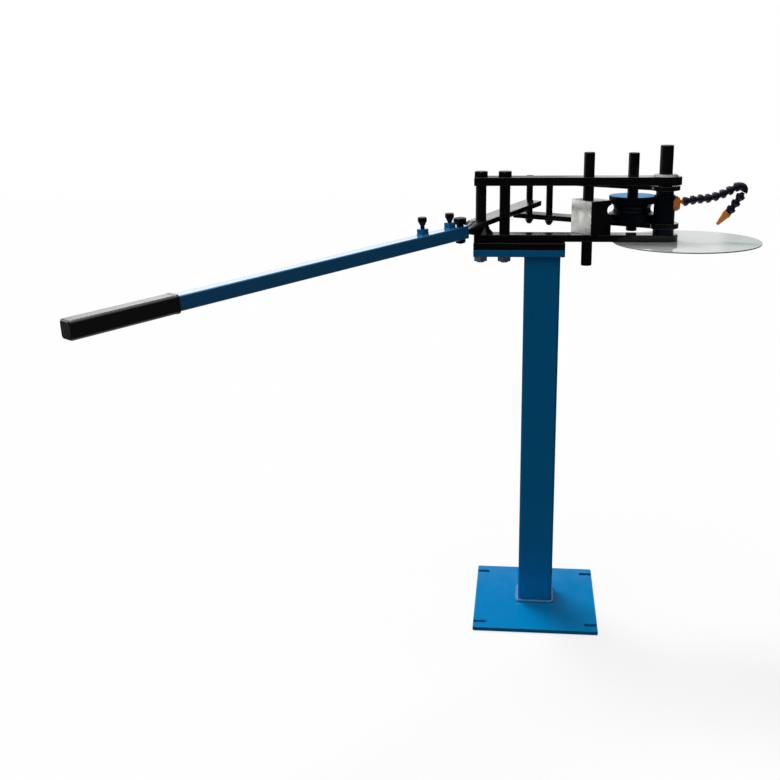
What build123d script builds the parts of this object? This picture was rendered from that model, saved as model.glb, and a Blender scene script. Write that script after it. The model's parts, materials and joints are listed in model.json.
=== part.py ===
from build123d import *
import math
import os

# Stand: foot plate, square column, top plate (mm)
BASE_W = 300.0
BASE_D = 355.0
BASE_T = 10.0
SLOT_W = 13.0
SLOT_L = 33.0
SLOT_Y = 145.0
COLUMN = 84.0
COLUMN_WALL = 4.0
COLUMN_ROUND = 6.0
COLUMN_H = 878.0
WELD = 7.0
HEAD_Y = 12.0
HEAD_X0 = -160.0
HEAD_X1 = 52.0
HEAD_D = 100.0
PLATE_T = 16.0
UPPER_T = 19.0

# Fixed frame: two long plates, two posts, the centre pin at the round end
BAR_W = 50.0
PIVOT_X = 276.5
UPPER_REACH = 37.0
LOWER_REACH = 33.5
POST_X = (-144.5, -89.0)
POST_OD = 25.0
POST_BOLT_D = 18.0
POST_L = 113.0
POST_HEX = 27.0
POST_HEAD_H = 12.5
POST_NUT_H = 14.0
POST_WASHER_D = 33.0
POST_WASHER_T = 3.0
BOLT_END = 3.0
CENTRE_PIN_D = 30.0
CENTRE_PIN_TOP = 70.0
DISC_R = 168.5
DISC_T = 3.0
DISC_OFF = 54.0

# Swing frame, standing open behind the fixed frame
SWING_ANGLE = 30.0
SWING_LIFT = 14.0
SWING_T = 12.0
SWING_UP_T = 10.0
SWING_GAP = 2.0
SWING_BOSS_R = 34.0
SWING_LEN = 391.0
SWING_POST_INSET = 35.4
SWING_POST_STEP = 56.0
SWING_POST_S = (SWING_LEN - SWING_POST_INSET - SWING_POST_STEP, SWING_LEN - SWING_POST_INSET)
SWING_POST_OD = 16.0
SWING_BOLT_D = 10.0
SWING_HEX = 17.0
SWING_HEAD_H = 6.5
SWING_NUT_H = 8.0
RING_R = 24.0

# Die and its pin in the swing frame, follower and its pin in the fixed frame
DIE_S = 80.0
PIN_D = 25.0
DIE_PIN_UP = 71.5
DIE_PIN_DOWN = 12.0
DIE_R = 54.0
DIE_H = 58.0
PIPE_R = 15.0
FOLLOWER_X = 103.0
FOLLOWER_UP = 55.0
FOLLOWER_DOWN = 58.0
BLOCK_ANGLE = 35.0
BLOCK_LEFT = 16.0
BLOCK_RIGHT = 42.0
BLOCK_FRONT = 34.0
BLOCK_BACK = 42.0
BLOCK_H = 78.0

# Lever: flat bar on the left post, square tube and grip
LEVER_AZ = 50.8
BAR_TILT = 8.0
TUBE_TILT = 3.2
BAR_LIFT = 21.0
TUBE_LIFT = 14.0
LEVER_W = 50.0
LEVER_T = 12.0
LEVER_TAIL = 195.0
TANG_W = 24.0
CRANK_X = (20.0, 54.0)
TANG_X1 = 225.0
TUBE = 30.0
TUBE_WALL = 2.5
TUBE_ROUND = 3.0
TUBE_X0 = 58.5
TUBE_X1 = 1086.0
GRIP = 37.0
GRIP_X0 = 862.0
GRIP_END = 6.0
GRIP_ROUND = 6.0
BOSS_R0 = 32.0
BOSS_R1 = 18.0
SCREW_X = (106.0, 195.0)
SCREW_D = 10.0
SCREW_HEAD = 13.0
SCREW_HEAD_H = 11.0
SCREW_NECK = (8.0, 15.0)
WELD_NUT = 19.0
WELD_NUT_H = 11.0
CLAMP_X = 71.5
CLAMP_D = 10.0
CLAMP_RISE = 11.0
CLAMP_HEX = 17.0
CLAMP_HEAD_H = 8.0
CLAMP_NUT_H = 8.0

# Pointer: sleeve, collar and ball-link hose
SLEEVE_R = 24.0
COLLAR_R = 20.0
COLLAR_H = 11.0
FITTING_R = 17.0
FITTING_Z = 44.0
FITTING_X = 10.0
BALL_OUT = 10.0
BALL_R = 7.5
SKIRT_R = 10.0
LINK = 17.0
LINKS_UP = 7
LINKS_DOWN = 2
HOSE_RISE = 18.0
HOSE_FALL = -123.0
NOZZLE_FALL = -130.0
ELBOW_R = 9.0
ELBOW_LEAD = 8.0
ELBOW_TAIL = 10.0
CONNECTOR = 13.0
NOZZLE = 33.0
NOZZLE_R0 = 7.0
NOZZLE_R1 = 2.6

# Clearances on the radius or between faces
RUN = 0.05
FREE = 0.3
BOLT_PLAY = 0.4
TOUCH = 0.02

Z_TOP = BASE_T + COLUMN_H
Z_HEAD = Z_TOP + PLATE_T
Z_LOWER = Z_HEAD + PLATE_T
Z_DECK = Z_LOWER + PLATE_T
Z_UPPER = Z_DECK + POST_L
Z_CROWN = Z_UPPER + UPPER_T
Z_SWING = Z_DECK + SWING_LIFT
Z_BED = Z_SWING + SWING_T
Z_SWING_UP = Z_UPPER - SWING_GAP - SWING_UP_T
Z_DIE = Z_BED + FREE
Z_PIPE = Z_DIE + DIE_H / 2
PIN_R = PIN_D / 2
CENTRE_R = CENTRE_PIN_D / 2
POST_R = POST_OD / 2
BOLT_HOLE = POST_BOLT_D / 2 + BOLT_PLAY
SWING_HOLE = SWING_BOLT_D / 2 + BOLT_PLAY

os.makedirs("parts", exist_ok=True)


def save(name, *shapes):
    solids = [s for shape in shapes for s in shape.solids()]
    out = solids[0] if len(solids) == 1 else Compound(solids)
    export_step(out, f"parts/{name}.step")


def rod(x, y, z0, z1, r):
    return Pos(x, y, (z0 + z1) / 2) * Cylinder(r, z1 - z0)


def tube(x, y, z0, z1, r, bore):
    return rod(x, y, z0, z1, r) - rod(x, y, z0, z1, bore)


def block(x0, x1, y0, y1, z0, z1):
    centre = Pos((x0 + x1) / 2, (y0 + y1) / 2, (z0 + z1) / 2)
    return centre * Box(x1 - x0, y1 - y0, z1 - z0)


def square_bar(x0, x1, side, radius):
    body = block(x0, x1, -side / 2, side / 2, -side / 2, side / 2)
    return fillet(body.edges().filter_by(Axis.X), radius)


def hexagon(across, z0, z1):
    flat = RegularPolygon(across / math.sqrt(3), 6)
    return Pos(0, 0, z0) * extrude(flat, amount=z1 - z0)


def hex_head(across, z0, z1):
    crown = Pos(0, 0, (z0 + z1) / 2) * Cone(across / 2 + (z1 - z0), across / 2, z1 - z0)
    return hexagon(across, z0, z1) & crown


def at(x, y, shape):
    return Pos(x, y, 0) * shape


# Foot and column
foot = block(-BASE_W / 2, BASE_W / 2, -BASE_D / 2, BASE_D / 2, 0, BASE_T)
foot = fillet(foot.edges().filter_by(Axis.Z), 4)
for side in (-1, 1):
    for y in (-SLOT_Y, SLOT_Y):
        inner = side * (BASE_W / 2 - SLOT_L + SLOT_W / 2)
        outer = side * (BASE_W / 2 + SLOT_W)
        foot -= rod(inner, y, -1, BASE_T + 1, SLOT_W / 2)
        foot -= block(min(inner, outer), max(inner, outer),
                      y - SLOT_W / 2, y + SLOT_W / 2, -1, BASE_T + 1)
save("base_plate", foot)

half = COLUMN / 2
shell = block(-half, half, HEAD_Y - half, HEAD_Y + half, BASE_T, Z_TOP)
shell = fillet(shell.edges().filter_by(Axis.Z), COLUMN_ROUND)
core = half - COLUMN_WALL
hollow = block(-core, core, HEAD_Y - core, HEAD_Y + core, BASE_T - 1, Z_TOP + 1)
hollow = fillet(hollow.edges().filter_by(Axis.Z), COLUMN_ROUND - COLUMN_WALL)
save("column_tube", shell - hollow)

bead = RectangleRounded(COLUMN + 2 * WELD, COLUMN + 2 * WELD, COLUMN_ROUND + WELD)
bead = extrude(Pos(0, HEAD_Y, BASE_T) * bead, amount=WELD * 0.8, taper=45)
save("foot_weld", bead - shell)

# Top plate and the head base plate on it
front = HEAD_Y - HEAD_D / 2
back = HEAD_Y + HEAD_D / 2
for name, z in (("top_plate", Z_TOP), ("head_base_plate", Z_HEAD)):
    plate = block(HEAD_X0, HEAD_X1, front, back, z, z + PLATE_T)
    plate = fillet(plate.edges().filter_by(Axis.Z), 2)
    for x in POST_X:
        plate -= rod(x, HEAD_Y, z - 1, z + PLATE_T + 1, BOLT_HOLE)
    save(name, plate)


def frame_plate(z, t, reach):
    x_end = PIVOT_X + reach - BAR_W / 2
    bar = block(HEAD_X0, x_end, HEAD_Y - BAR_W / 2, HEAD_Y + BAR_W / 2, z, z + t)
    bar += rod(x_end, HEAD_Y, z, z + t, BAR_W / 2)
    for x in POST_X:
        bar -= rod(x, HEAD_Y, z - 1, z + t + 1, BOLT_HOLE)
    bar -= rod(FOLLOWER_X, HEAD_Y, z - 1, z + t + 1, PIN_R + RUN)
    bar -= rod(PIVOT_X, HEAD_Y, z - 1, z + t + 1, CENTRE_R + RUN)
    return bar


save("lower_frame_plate", frame_plate(Z_LOWER, PLATE_T, LOWER_REACH))
save("upper_frame_plate", frame_plate(Z_UPPER, UPPER_T, UPPER_REACH))

# Posts with their through bolts
z_washer = Z_TOP - POST_WASHER_T
z_nut = z_washer - POST_NUT_H
z_tip = z_nut - BOLT_END
spacers = [tube(x, HEAD_Y, Z_DECK, Z_UPPER, POST_R, BOLT_HOLE) for x in POST_X]
save("post_spacers", *spacers)
bolts = []
nuts = []
washers = []
for x in POST_X:
    head = at(x, HEAD_Y, hex_head(POST_HEX, Z_CROWN, Z_CROWN + POST_HEAD_H))
    bolts.append(head + rod(x, HEAD_Y, z_tip, Z_CROWN, POST_BOLT_D / 2))
    nut = at(x, HEAD_Y, hexagon(POST_HEX, z_nut, z_washer))
    nuts.append(nut - rod(x, HEAD_Y, z_nut - 1, z_washer + 1, POST_BOLT_D / 2 + TOUCH))
    washers.append(tube(x, HEAD_Y, z_washer, Z_TOP, POST_WASHER_D / 2, BOLT_HOLE))
save("post_bolts", *bolts)
save("post_nuts", *nuts)
save("post_washers", *washers)

# Centre pin, ring under the swing frame, dial disc
pin_top = Z_CROWN + CENTRE_PIN_TOP
pin = rod(PIVOT_X, HEAD_Y, Z_LOWER, pin_top, CENTRE_R)
save("centre_pin", chamfer(pin.edges().sort_by(Axis.Z)[-1], 1))
save("swing_ring", tube(PIVOT_X, HEAD_Y, Z_DECK, Z_SWING, RING_R, CENTRE_R + RUN))
disc = rod(PIVOT_X + DISC_OFF, HEAD_Y, Z_LOWER - DISC_T, Z_LOWER, DISC_R)
save("dial_disc", disc)

# Swing frame, drawn along -X from the pivot and then turned back
SWING = Pos(PIVOT_X, HEAD_Y, 0) * Rot(0, 0, -SWING_ANGLE)


def swing_plate(z, t):
    bar = block(-SWING_LEN, 0, -BAR_W / 2, BAR_W / 2, z, z + t)
    corners = bar.edges().filter_by(Axis.Z).sort_by(Axis.X)[:2]
    bar = fillet(corners, 8)
    bar += rod(0, 0, z, z + t, SWING_BOSS_R)
    bar -= rod(0, 0, z - 1, z + t + 1, CENTRE_R + RUN)
    bar -= rod(-DIE_S, 0, z - 1, z + t + 1, PIN_R + RUN)
    for s in SWING_POST_S:
        bar -= rod(-s, 0, z - 1, z + t + 1, SWING_HOLE)
    return SWING * bar


save("swing_lower_plate", swing_plate(Z_SWING, SWING_T))
save("swing_upper_plate", swing_plate(Z_SWING_UP, SWING_UP_T))
z_crest = Z_SWING_UP + SWING_UP_T
z_dome = Z_SWING - SWING_NUT_H
tubes = []
rods = []
caps = []
for s in SWING_POST_S:
    tubes.append(SWING * tube(-s, 0, Z_BED, Z_SWING_UP, SWING_POST_OD / 2, SWING_HOLE))
    head = at(-s, 0, hex_head(SWING_HEX, z_crest, z_crest + SWING_HEAD_H))
    rods.append(SWING * (head + rod(-s, 0, z_dome, z_crest, SWING_BOLT_D / 2)))
    dome = Pos(-s, 0, z_dome) * Sphere(SWING_HEX / 2 - 0.5)
    cap = at(-s, 0, hexagon(SWING_HEX, z_dome, Z_SWING)) + dome
    bore = rod(-s, 0, z_dome - TOUCH, Z_SWING + 1, SWING_BOLT_D / 2 + TOUCH)
    caps.append(SWING * (cap - bore))
save("swing_spacers", *tubes)
save("swing_bolts", *rods)
save("swing_nuts", *caps)

# Die pin and roller die
pin = rod(-DIE_S, 0, Z_SWING - DIE_PIN_DOWN, z_crest + DIE_PIN_UP, PIN_R)
save("die_pin", SWING * chamfer(pin.edges().filter_by(GeomType.CIRCLE), 1))
die = rod(-DIE_S, 0, Z_DIE, Z_DIE + DIE_H, DIE_R)
die -= Pos(-DIE_S, 0, Z_PIPE) * Torus(DIE_R, PIPE_R)
die -= rod(-DIE_S, 0, Z_DIE - 1, Z_DIE + DIE_H + 1, PIN_R + RUN)
save("roller_die", SWING * die)

# Follower pin and the block standing askew on it
pin = rod(FOLLOWER_X, HEAD_Y, Z_LOWER - FOLLOWER_DOWN, Z_CROWN + FOLLOWER_UP, PIN_R)
save("follower_pin", chamfer(pin.edges().filter_by(GeomType.CIRCLE), 1))
shoe = block(-BLOCK_LEFT, BLOCK_RIGHT, -BLOCK_FRONT, BLOCK_BACK, 0, BLOCK_H)
shoe = chamfer(shoe.edges().filter_by(Axis.Z), 1.5)
channel = Pos(BLOCK_RIGHT, (BLOCK_BACK - BLOCK_FRONT) / 2, Z_PIPE - Z_DECK)
shoe -= channel * Rot(90, 0, 0) * Cylinder(PIPE_R, 2 * (BLOCK_BACK + BLOCK_FRONT))
shoe -= rod(0, 0, -1, BLOCK_H + 1, PIN_R + RUN)
save("follower_block", Pos(FOLLOWER_X, HEAD_Y, Z_DECK) * Rot(0, 0, BLOCK_ANGLE) * shoe)

# Lever: local +X runs to the grip; the flat bar is cranked down into the square tube
LEVER_C = math.cos(math.radians(LEVER_AZ))
LEVER_S = math.sin(math.radians(LEVER_AZ))
tilt_b = math.radians(BAR_TILT)
tilt_t = math.radians(TUBE_TILT)


def lever_frame(tilt, z):
    along = (-LEVER_C * math.cos(tilt), -LEVER_S * math.cos(tilt), -math.sin(tilt))
    up = (-LEVER_C * math.sin(tilt), -LEVER_S * math.sin(tilt), math.cos(tilt))
    return Plane(origin=(POST_X[0], HEAD_Y, z), x_dir=along, z_dir=up).location


LEVEL = lever_frame(0, 0)
TUBED = lever_frame(tilt_t, Z_DECK + TUBE_LIFT)


def bar_under(x):
    return Z_DECK + BAR_LIFT - x * math.tan(tilt_b)


def tang_under(x):
    return Z_DECK + TUBE_LIFT - x * math.tan(tilt_t) - LEVER_T / 2


w = LEVER_W / 2
t = TANG_W / 2
x0, x1 = CRANK_X
low = [(-LEVER_TAIL, bar_under(-LEVER_TAIL)), (x0, bar_under(x0)), (x1, tang_under(x1)),
       (TANG_X1, tang_under(TANG_X1))]
side = Polyline(*low, *[(x, z + LEVER_T) for x, z in reversed(low)], close=True)
strip = extrude(Plane.XZ * make_face(side), amount=LEVER_W, both=True)
plan = Polyline((-LEVER_TAIL - 1, -w), (x0, -w), (x1, -t), (TANG_X1 + 1, -t),
                (TANG_X1 + 1, t), (x1, t), (x0, w), (-LEVER_TAIL - 1, w), close=True)
strap = LEVEL * (strip & extrude(make_face(plan), amount=Z_CROWN))
well = rod(POST_X[0], HEAD_Y, Z_DECK - 1, Z_UPPER, POST_R + FREE)
clamp_hole = TUBED * rod(CLAMP_X, 0, -TUBE, TUBE, CLAMP_D / 2 + BOLT_PLAY)
save("lever_bar", strap - well - clamp_hole)

tall = 2 * BAR_LIFT
thin = BOSS_R0 - 2 * (BOSS_R0 - BOSS_R1)
if thin < POST_R:
    tall = BAR_LIFT * (BOSS_R0 - POST_R) / (BOSS_R0 - BOSS_R1)
    thin = POST_R
cone = Pos(POST_X[0], HEAD_Y, Z_DECK + tall / 2) * Cone(BOSS_R0, thin, tall)
wedge = Polyline((-BOSS_R0 - 1, bar_under(-BOSS_R0 - 1)), (BOSS_R0 + 1, bar_under(BOSS_R0 + 1)),
                 (BOSS_R0 + 1, Z_CROWN), (-BOSS_R0 - 1, Z_CROWN), close=True)
above = LEVEL * extrude(Plane.XZ * make_face(wedge), amount=LEVER_W, both=True)
save("lever_boss", cone - above - well)

pipe = square_bar(TUBE_X0, TUBE_X1, TUBE, TUBE_ROUND)
pipe -= square_bar(TUBE_X0 - 1, TUBE_X1 + 1, TUBE - 2 * TUBE_WALL, TUBE_ROUND - TUBE_WALL)
pipe -= rod(CLAMP_X, 0, -TUBE, TUBE, CLAMP_D / 2 + BOLT_PLAY)
for x in SCREW_X:
    pipe -= rod(x, 0, 0, TUBE, SCREW_D / 2 + BOLT_PLAY)
save("handle_tube", TUBED * pipe)

grip = square_bar(GRIP_X0, TUBE_X1 + GRIP_END, GRIP, GRIP_ROUND)
grip = fillet(grip.faces().sort_by(Axis.X)[-1].edges(), 3)
save("handle_grip", TUBED * (grip - square_bar(GRIP_X0 - 1, TUBE_X1, TUBE, TUBE_ROUND)))

top = TUBE / 2
blocks = []
screws = []
tang_top = LEVER_T / 2 * math.cos(tilt_t)
for x, neck in zip(SCREW_X, SCREW_NECK):
    nut = block(x - WELD_NUT / 2, x + WELD_NUT / 2, -WELD_NUT / 2, WELD_NUT / 2,
                top, top + WELD_NUT_H)
    nut -= rod(x, 0, top - 1, top + WELD_NUT_H + 1, SCREW_D / 2 + TOUCH)
    blocks.append(TUBED * nut)
    z0 = top + WELD_NUT_H + neck
    head = Pos(x, 0, z0 + SCREW_HEAD_H / 2) * Box(SCREW_HEAD, SCREW_HEAD, SCREW_HEAD_H)
    screws.append(TUBED * (head + rod(x, 0, tang_top + TOUCH, z0, SCREW_D / 2)))
save("weld_nuts", *blocks)
save("set_screws", *screws)

z0 = top + CLAMP_RISE
head = at(CLAMP_X, 0, hex_head(CLAMP_HEX, z0, z0 + CLAMP_HEAD_H))
stem = rod(CLAMP_X, 0, -top - CLAMP_NUT_H - BOLT_END, z0, CLAMP_D / 2)
save("clamp_bolt", TUBED * (head + stem))
nut = at(CLAMP_X, 0, hexagon(CLAMP_HEX, -top - CLAMP_NUT_H, -top))
nut -= rod(CLAMP_X, 0, -top - CLAMP_NUT_H - 1, -top + 1, CLAMP_D / 2 + TOUCH)
save("clamp_nut", TUBED * nut)

# Sleeve, collar and the pointer's fitting
z_collar = Z_SWING_UP - COLLAR_H
sleeve = tube(PIVOT_X, HEAD_Y, Z_BED, z_collar, SLEEVE_R, CENTRE_R + RUN)
save("centre_sleeve", sleeve)
save("sleeve_collar", tube(PIVOT_X, HEAD_Y, z_collar, Z_SWING_UP, COLLAR_R, CENTRE_R + RUN))

ACROSS = Rot(0, 90, 0)
x_face = PIVOT_X + SLEEVE_R + FITTING_X
fit_z = Z_BED + FITTING_Z
x_ball = x_face + BALL_OUT
stub = Pos((PIVOT_X + x_face) / 2, HEAD_Y, fit_z) * ACROSS * Cylinder(FITTING_R, x_face - PIVOT_X)
neck = Pos((x_face + x_ball) / 2, HEAD_Y, fit_z) * ACROSS * Cylinder(BALL_R * 0.6, BALL_OUT)
ball = Pos(x_ball, HEAD_Y, fit_z) * Sphere(BALL_R)
stub = stub - rod(PIVOT_X, HEAD_Y, Z_BED, z_collar, SLEEVE_R)
save("pointer_fitting", stub + neck + ball)


def socket():
    skirt = rod(0, 0, -2, 5, SKIRT_R)
    skirt += Pos(0, 0, 7.5) * Cone(SKIRT_R, BALL_R * 0.6, 5)
    return skirt


def link():
    body = socket() + rod(0, 0, 9, LINK, BALL_R * 0.6) + Pos(0, 0, LINK) * Sphere(BALL_R)
    return body - Sphere(BALL_R + FREE)


def along(x, z, angle):
    return Pos(x, HEAD_Y, z) * Rot(0, 90 - angle, 0)


def step(x, z, angle, length):
    a = math.radians(angle)
    return x + length * math.cos(a), z + length * math.sin(a)


one = link()
x, z = x_ball, fit_z
run = []
for i in range(LINKS_UP):
    run.append(along(x, z, HOSE_RISE) * one)
    x, z = step(x, z, HOSE_RISE, LINK)
save("hose_links_up", *run)

a0 = math.radians(HOSE_RISE)
a1 = math.radians(HOSE_FALL)
start = step(x, z, HOSE_RISE, ELBOW_LEAD)
mid = (start[0] + ELBOW_R * math.sin(a0), start[1] - ELBOW_R * math.cos(a0))
end = (mid[0] - ELBOW_R * math.sin(a1), mid[1] + ELBOW_R * math.cos(a1))
am = (a0 + a1) / 2
crest = (mid[0] - ELBOW_R * math.sin(am), mid[1] + ELBOW_R * math.cos(am))
x2, z2 = step(*end, HOSE_FALL, ELBOW_TAIL)
lead = step(x, z, HOSE_RISE, BALL_R)
path = Line((lead[0], HEAD_Y, lead[1]), (start[0], HEAD_Y, start[1]))
path += ThreePointArc((start[0], HEAD_Y, start[1]), (crest[0], HEAD_Y, crest[1]),
                      (end[0], HEAD_Y, end[1]))
path += Line((end[0], HEAD_Y, end[1]), (x2, HEAD_Y, z2))
section = Plane(origin=path @ 0, z_dir=path % 0) * Circle(BALL_R * 0.6)
elbow = sweep(section, path=path) + along(x, z, HOSE_RISE) * socket()
elbow += Pos(x2, HEAD_Y, z2) * Sphere(BALL_R)
save("hose_elbow", elbow - Pos(x, HEAD_Y, z) * Sphere(BALL_R + FREE))

run = []
for i in range(LINKS_DOWN):
    run.append(along(x2, z2, HOSE_FALL) * one)
    x2, z2 = step(x2, z2, HOSE_FALL, LINK)
save("hose_links_down", *run)

joiner = socket() + rod(0, 0, 8, CONNECTOR, NOZZLE_R0) - Sphere(BALL_R + FREE)
save("pointer_connector", along(x2, z2, NOZZLE_FALL) * joiner)
spout = Pos(0, 0, CONNECTOR + NOZZLE / 2) * Cone(NOZZLE_R0, NOZZLE_R1, NOZZLE)
save("pointer_nozzle", along(x2, z2, NOZZLE_FALL) * spout)
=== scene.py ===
import json
import math

import bmesh
import bpy
from mathutils import Matrix, Vector
from mathutils.geometry import tessellate_polygon


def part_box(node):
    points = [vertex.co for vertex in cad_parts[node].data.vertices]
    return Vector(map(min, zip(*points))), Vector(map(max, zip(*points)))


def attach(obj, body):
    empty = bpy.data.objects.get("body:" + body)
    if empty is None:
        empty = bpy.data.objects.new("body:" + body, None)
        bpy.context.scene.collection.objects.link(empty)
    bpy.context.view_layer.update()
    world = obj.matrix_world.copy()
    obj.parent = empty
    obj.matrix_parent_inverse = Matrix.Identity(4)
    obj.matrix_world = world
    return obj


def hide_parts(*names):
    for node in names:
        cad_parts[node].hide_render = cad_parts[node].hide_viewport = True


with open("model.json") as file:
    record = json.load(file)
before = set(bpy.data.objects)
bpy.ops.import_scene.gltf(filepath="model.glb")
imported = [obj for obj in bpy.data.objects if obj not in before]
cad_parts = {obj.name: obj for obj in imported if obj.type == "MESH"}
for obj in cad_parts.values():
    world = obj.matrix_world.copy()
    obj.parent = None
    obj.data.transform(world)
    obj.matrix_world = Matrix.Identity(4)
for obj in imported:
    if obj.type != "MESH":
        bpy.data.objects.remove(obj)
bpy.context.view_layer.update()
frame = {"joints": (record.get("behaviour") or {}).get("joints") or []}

bl_info = {
    "name": "Pipe roller bender",
    "version": (1, 0, 0),
    "blender": (4, 5, 0),
    "location": "View3D > Sidebar > Bender",
    "description": "Dresses the floor-standing pipe roller bender and sets its studio stage",
    "category": "Object",
}

JOINTS = {j["name"]: j for j in frame["joints"]}
PIVOT = Vector(JOINTS["swing_hinge"]["pos_m"])
LEVER_POST = Vector(JOINTS["lever_hinge"]["pos_m"])
SWIVEL = Vector(JOINTS["pointer_swivel"]["pos_m"])
BEND = Vector(JOINTS["pointer_bend"]["pos_m"])
HEAD_Y = PIVOT.y
SUN_WAY = Vector((0.249, -0.399, -0.883))
QUARTER, TURN = math.pi / 2, 2 * math.pi
RUN = 0.00005  # clearance of a pin in its bore
FREE = 0.0003  # clearance of a loose fit
CUTTER_EASE = 0.0001  # chamfer of a tool that cuts a hole
TUBE_LIFT = 0.014  # height of the handle tube over the lower long plate, at the lever's post
BALL, SKIRT, NECK, STEM = 0.0075, 0.0105, 0.0065, 0.0045  # radii of a hose link


def centre_of(node):
    lo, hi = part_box(node)
    return (lo + hi) / 2


def size_of(node):
    lo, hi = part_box(node)
    return hi - lo


def top_of(node):
    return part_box(node)[1].z


def bore_for(pin):
    """Radius of the hole that a pin runs in."""
    return size_of(pin).x / 2 + RUN


# Sizes and colours a user may change


class BenderSizes(bpy.types.PropertyGroup):
    """Small sizes that the dressed pieces are drawn with"""

    plate_ease: bpy.props.FloatProperty(
        name="Plate edge", description="Rounding along the edges of the flat plates",
        default=0.0012, min=0.0002, max=0.003, unit="LENGTH")
    tube_ease: bpy.props.FloatProperty(
        name="Tube end edge", description="Rounding at the cut ends of the square tubes",
        default=0.0005, min=0.0001, max=0.001, unit="LENGTH")
    slot_width: bpy.props.FloatProperty(
        name="Foot slot width", description="Width of the open slots in the foot plate",
        default=0.013, min=0.008, max=0.02, unit="LENGTH")
    slot_depth: bpy.props.FloatProperty(
        name="Foot slot depth", description="Depth of the foot slots from the plate's edge",
        default=0.033, min=0.015, max=0.05, unit="LENGTH")
    slot_y: bpy.props.FloatProperty(
        name="Foot slot offset", description="Distance of the slots from the plate's middle",
        default=0.145, min=0.1, max=0.16, unit="LENGTH")
    weld_pitch: bpy.props.FloatProperty(
        name="Weld ripple", description="Distance between the ripples of a weld bead",
        default=0.0026, min=0.001, max=0.006, unit="LENGTH")
    post_hex: bpy.props.FloatProperty(
        name="Post bolt hexagon", description="Across the flats of the post bolts and nuts",
        default=0.030, min=0.02, max=0.036, unit="LENGTH")
    swing_hex: bpy.props.FloatProperty(
        name="Swing bolt hexagon", description="Across the flats of the swing frame's bolts",
        default=0.017, min=0.012, max=0.022, unit="LENGTH")
    groove: bpy.props.FloatProperty(
        name="Pipe groove radius", description="Radius of the groove in the die and follower",
        default=0.0115, min=0.008, max=0.02, unit="LENGTH")
    swing_turn: bpy.props.FloatProperty(
        name="Swing frame direction", description="How far the swing frame stands back from the head plates",
        default=math.radians(30.0), subtype="ANGLE")
    lever_turn: bpy.props.FloatProperty(
        name="Lever direction", description="Direction of the lever seen from above",
        default=math.radians(50.8), subtype="ANGLE")
    bar_tilt: bpy.props.FloatProperty(
        name="Lever bar droop", description="Droop of the flat lever bar towards the grip",
        default=math.radians(8.0), subtype="ANGLE")
    tube_tilt: bpy.props.FloatProperty(
        name="Handle droop", description="Droop of the square handle tube towards the grip",
        default=math.radians(3.2), subtype="ANGLE")
    block_turn: bpy.props.FloatProperty(
        name="Follower angle", description="How far the follower block stands askew",
        default=math.radians(35.0), subtype="ANGLE")
    link_pitch: bpy.props.FloatProperty(
        name="Hose link pitch", description="Distance from ball to ball along the hose",
        default=0.017, min=0.01, max=0.03, unit="LENGTH")


class BenderFinish(bpy.types.PropertyGroup):
    """Colours of the finishes"""

    blue: bpy.props.FloatVectorProperty(
        name="Blue paint", description="Enamel of the stand and the handle",
        subtype="COLOR", size=4, min=0, max=1, default=(0.0012, 0.25, 0.60, 1))
    black: bpy.props.FloatVectorProperty(
        name="Black paint", description="Satin paint of the head plates and the lever bar",
        subtype="COLOR", size=4, min=0, max=1, default=(0.0045, 0.0047, 0.0050, 1))
    oxide: bpy.props.FloatVectorProperty(
        name="Black steel", description="Oxide-blackened pins, posts and bolts",
        subtype="COLOR", size=4, min=0, max=1, default=(0.0070, 0.0072, 0.0080, 1))
    blued: bpy.props.FloatVectorProperty(
        name="Blued steel", description="Dark blue steel of the die and the sleeve",
        subtype="COLOR", size=4, min=0, max=1, default=(0.008, 0.012, 0.024, 1))
    # Turned face colour: a painted sheen, much paler than the blued steel, standing in for light on the die's
    # flat faces
    face: bpy.props.FloatVectorProperty(
        name="Turned face", description="Bright blue-grey face of the die",
        subtype="COLOR", size=4, min=0, max=1, default=(0.09, 0.28, 0.52, 1))
    steel: bpy.props.FloatVectorProperty(
        name="Bare steel", description="Machined steel of the follower block",
        subtype="COLOR", size=4, min=0, max=1, default=(0.86, 0.85, 0.82, 1))
    zinc: bpy.props.FloatVectorProperty(
        name="Zinc", description="Plating of the nuts and washers",
        subtype="COLOR", size=4, min=0, max=1, default=(0.62, 0.63, 0.64, 1))
    disc: bpy.props.FloatVectorProperty(
        name="Polished disc", description="Mirror-bright sheet of the dial disc",
        subtype="COLOR", size=4, min=0, max=1, default=(0.69, 0.72, 0.70, 1))
    grip: bpy.props.FloatVectorProperty(
        name="Grip", description="Black vinyl of the hand grip",
        subtype="COLOR", size=4, min=0, max=1, default=(0.0030, 0.0030, 0.0032, 1))
    navy: bpy.props.FloatVectorProperty(
        name="Navy plastic", description="Plastic of the hose links",
        subtype="COLOR", size=4, min=0, max=1, default=(0.008, 0.009, 0.034, 1))
    orange: bpy.props.FloatVectorProperty(
        name="Orange plastic", description="Plastic of the hose fitting and the nozzle",
        subtype="COLOR", size=4, min=0, max=1, default=(1.0, 0.30, 0.04, 1))


def sizes():
    return bpy.context.scene.bender_sizes


def finish():
    return bpy.context.scene.bender_finish


# Nodes, for materials and for Geometry Nodes

FLOAT, INT, VECTOR, COLOUR = "NodeSocketFloat", "NodeSocketInt", "NodeSocketVector", "NodeSocketColor"
GEOMETRY, OBJECT, MATERIAL = "NodeSocketGeometry", "NodeSocketObject", "NodeSocketMaterial"


def add(tree, kind, inputs=None, **props):
    """A node with its properties, values and links set."""
    node = tree.nodes.new(kind)
    for key, value in props.items():
        setattr(node, key, value)
    for key, value in (inputs or {}).items():
        if isinstance(value, bpy.types.NodeSocket):
            tree.links.new(value, node.inputs[key])
        else:
            node.inputs[key].default_value = value
    return node


def math_of(tree, operation, a, b=None, c=None, clamp=False):
    values = {i: v for i, v in enumerate((a, b, c)) if v is not None}
    return add(tree, "ShaderNodeMath", values, operation=operation, use_clamp=clamp).outputs[0]


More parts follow.
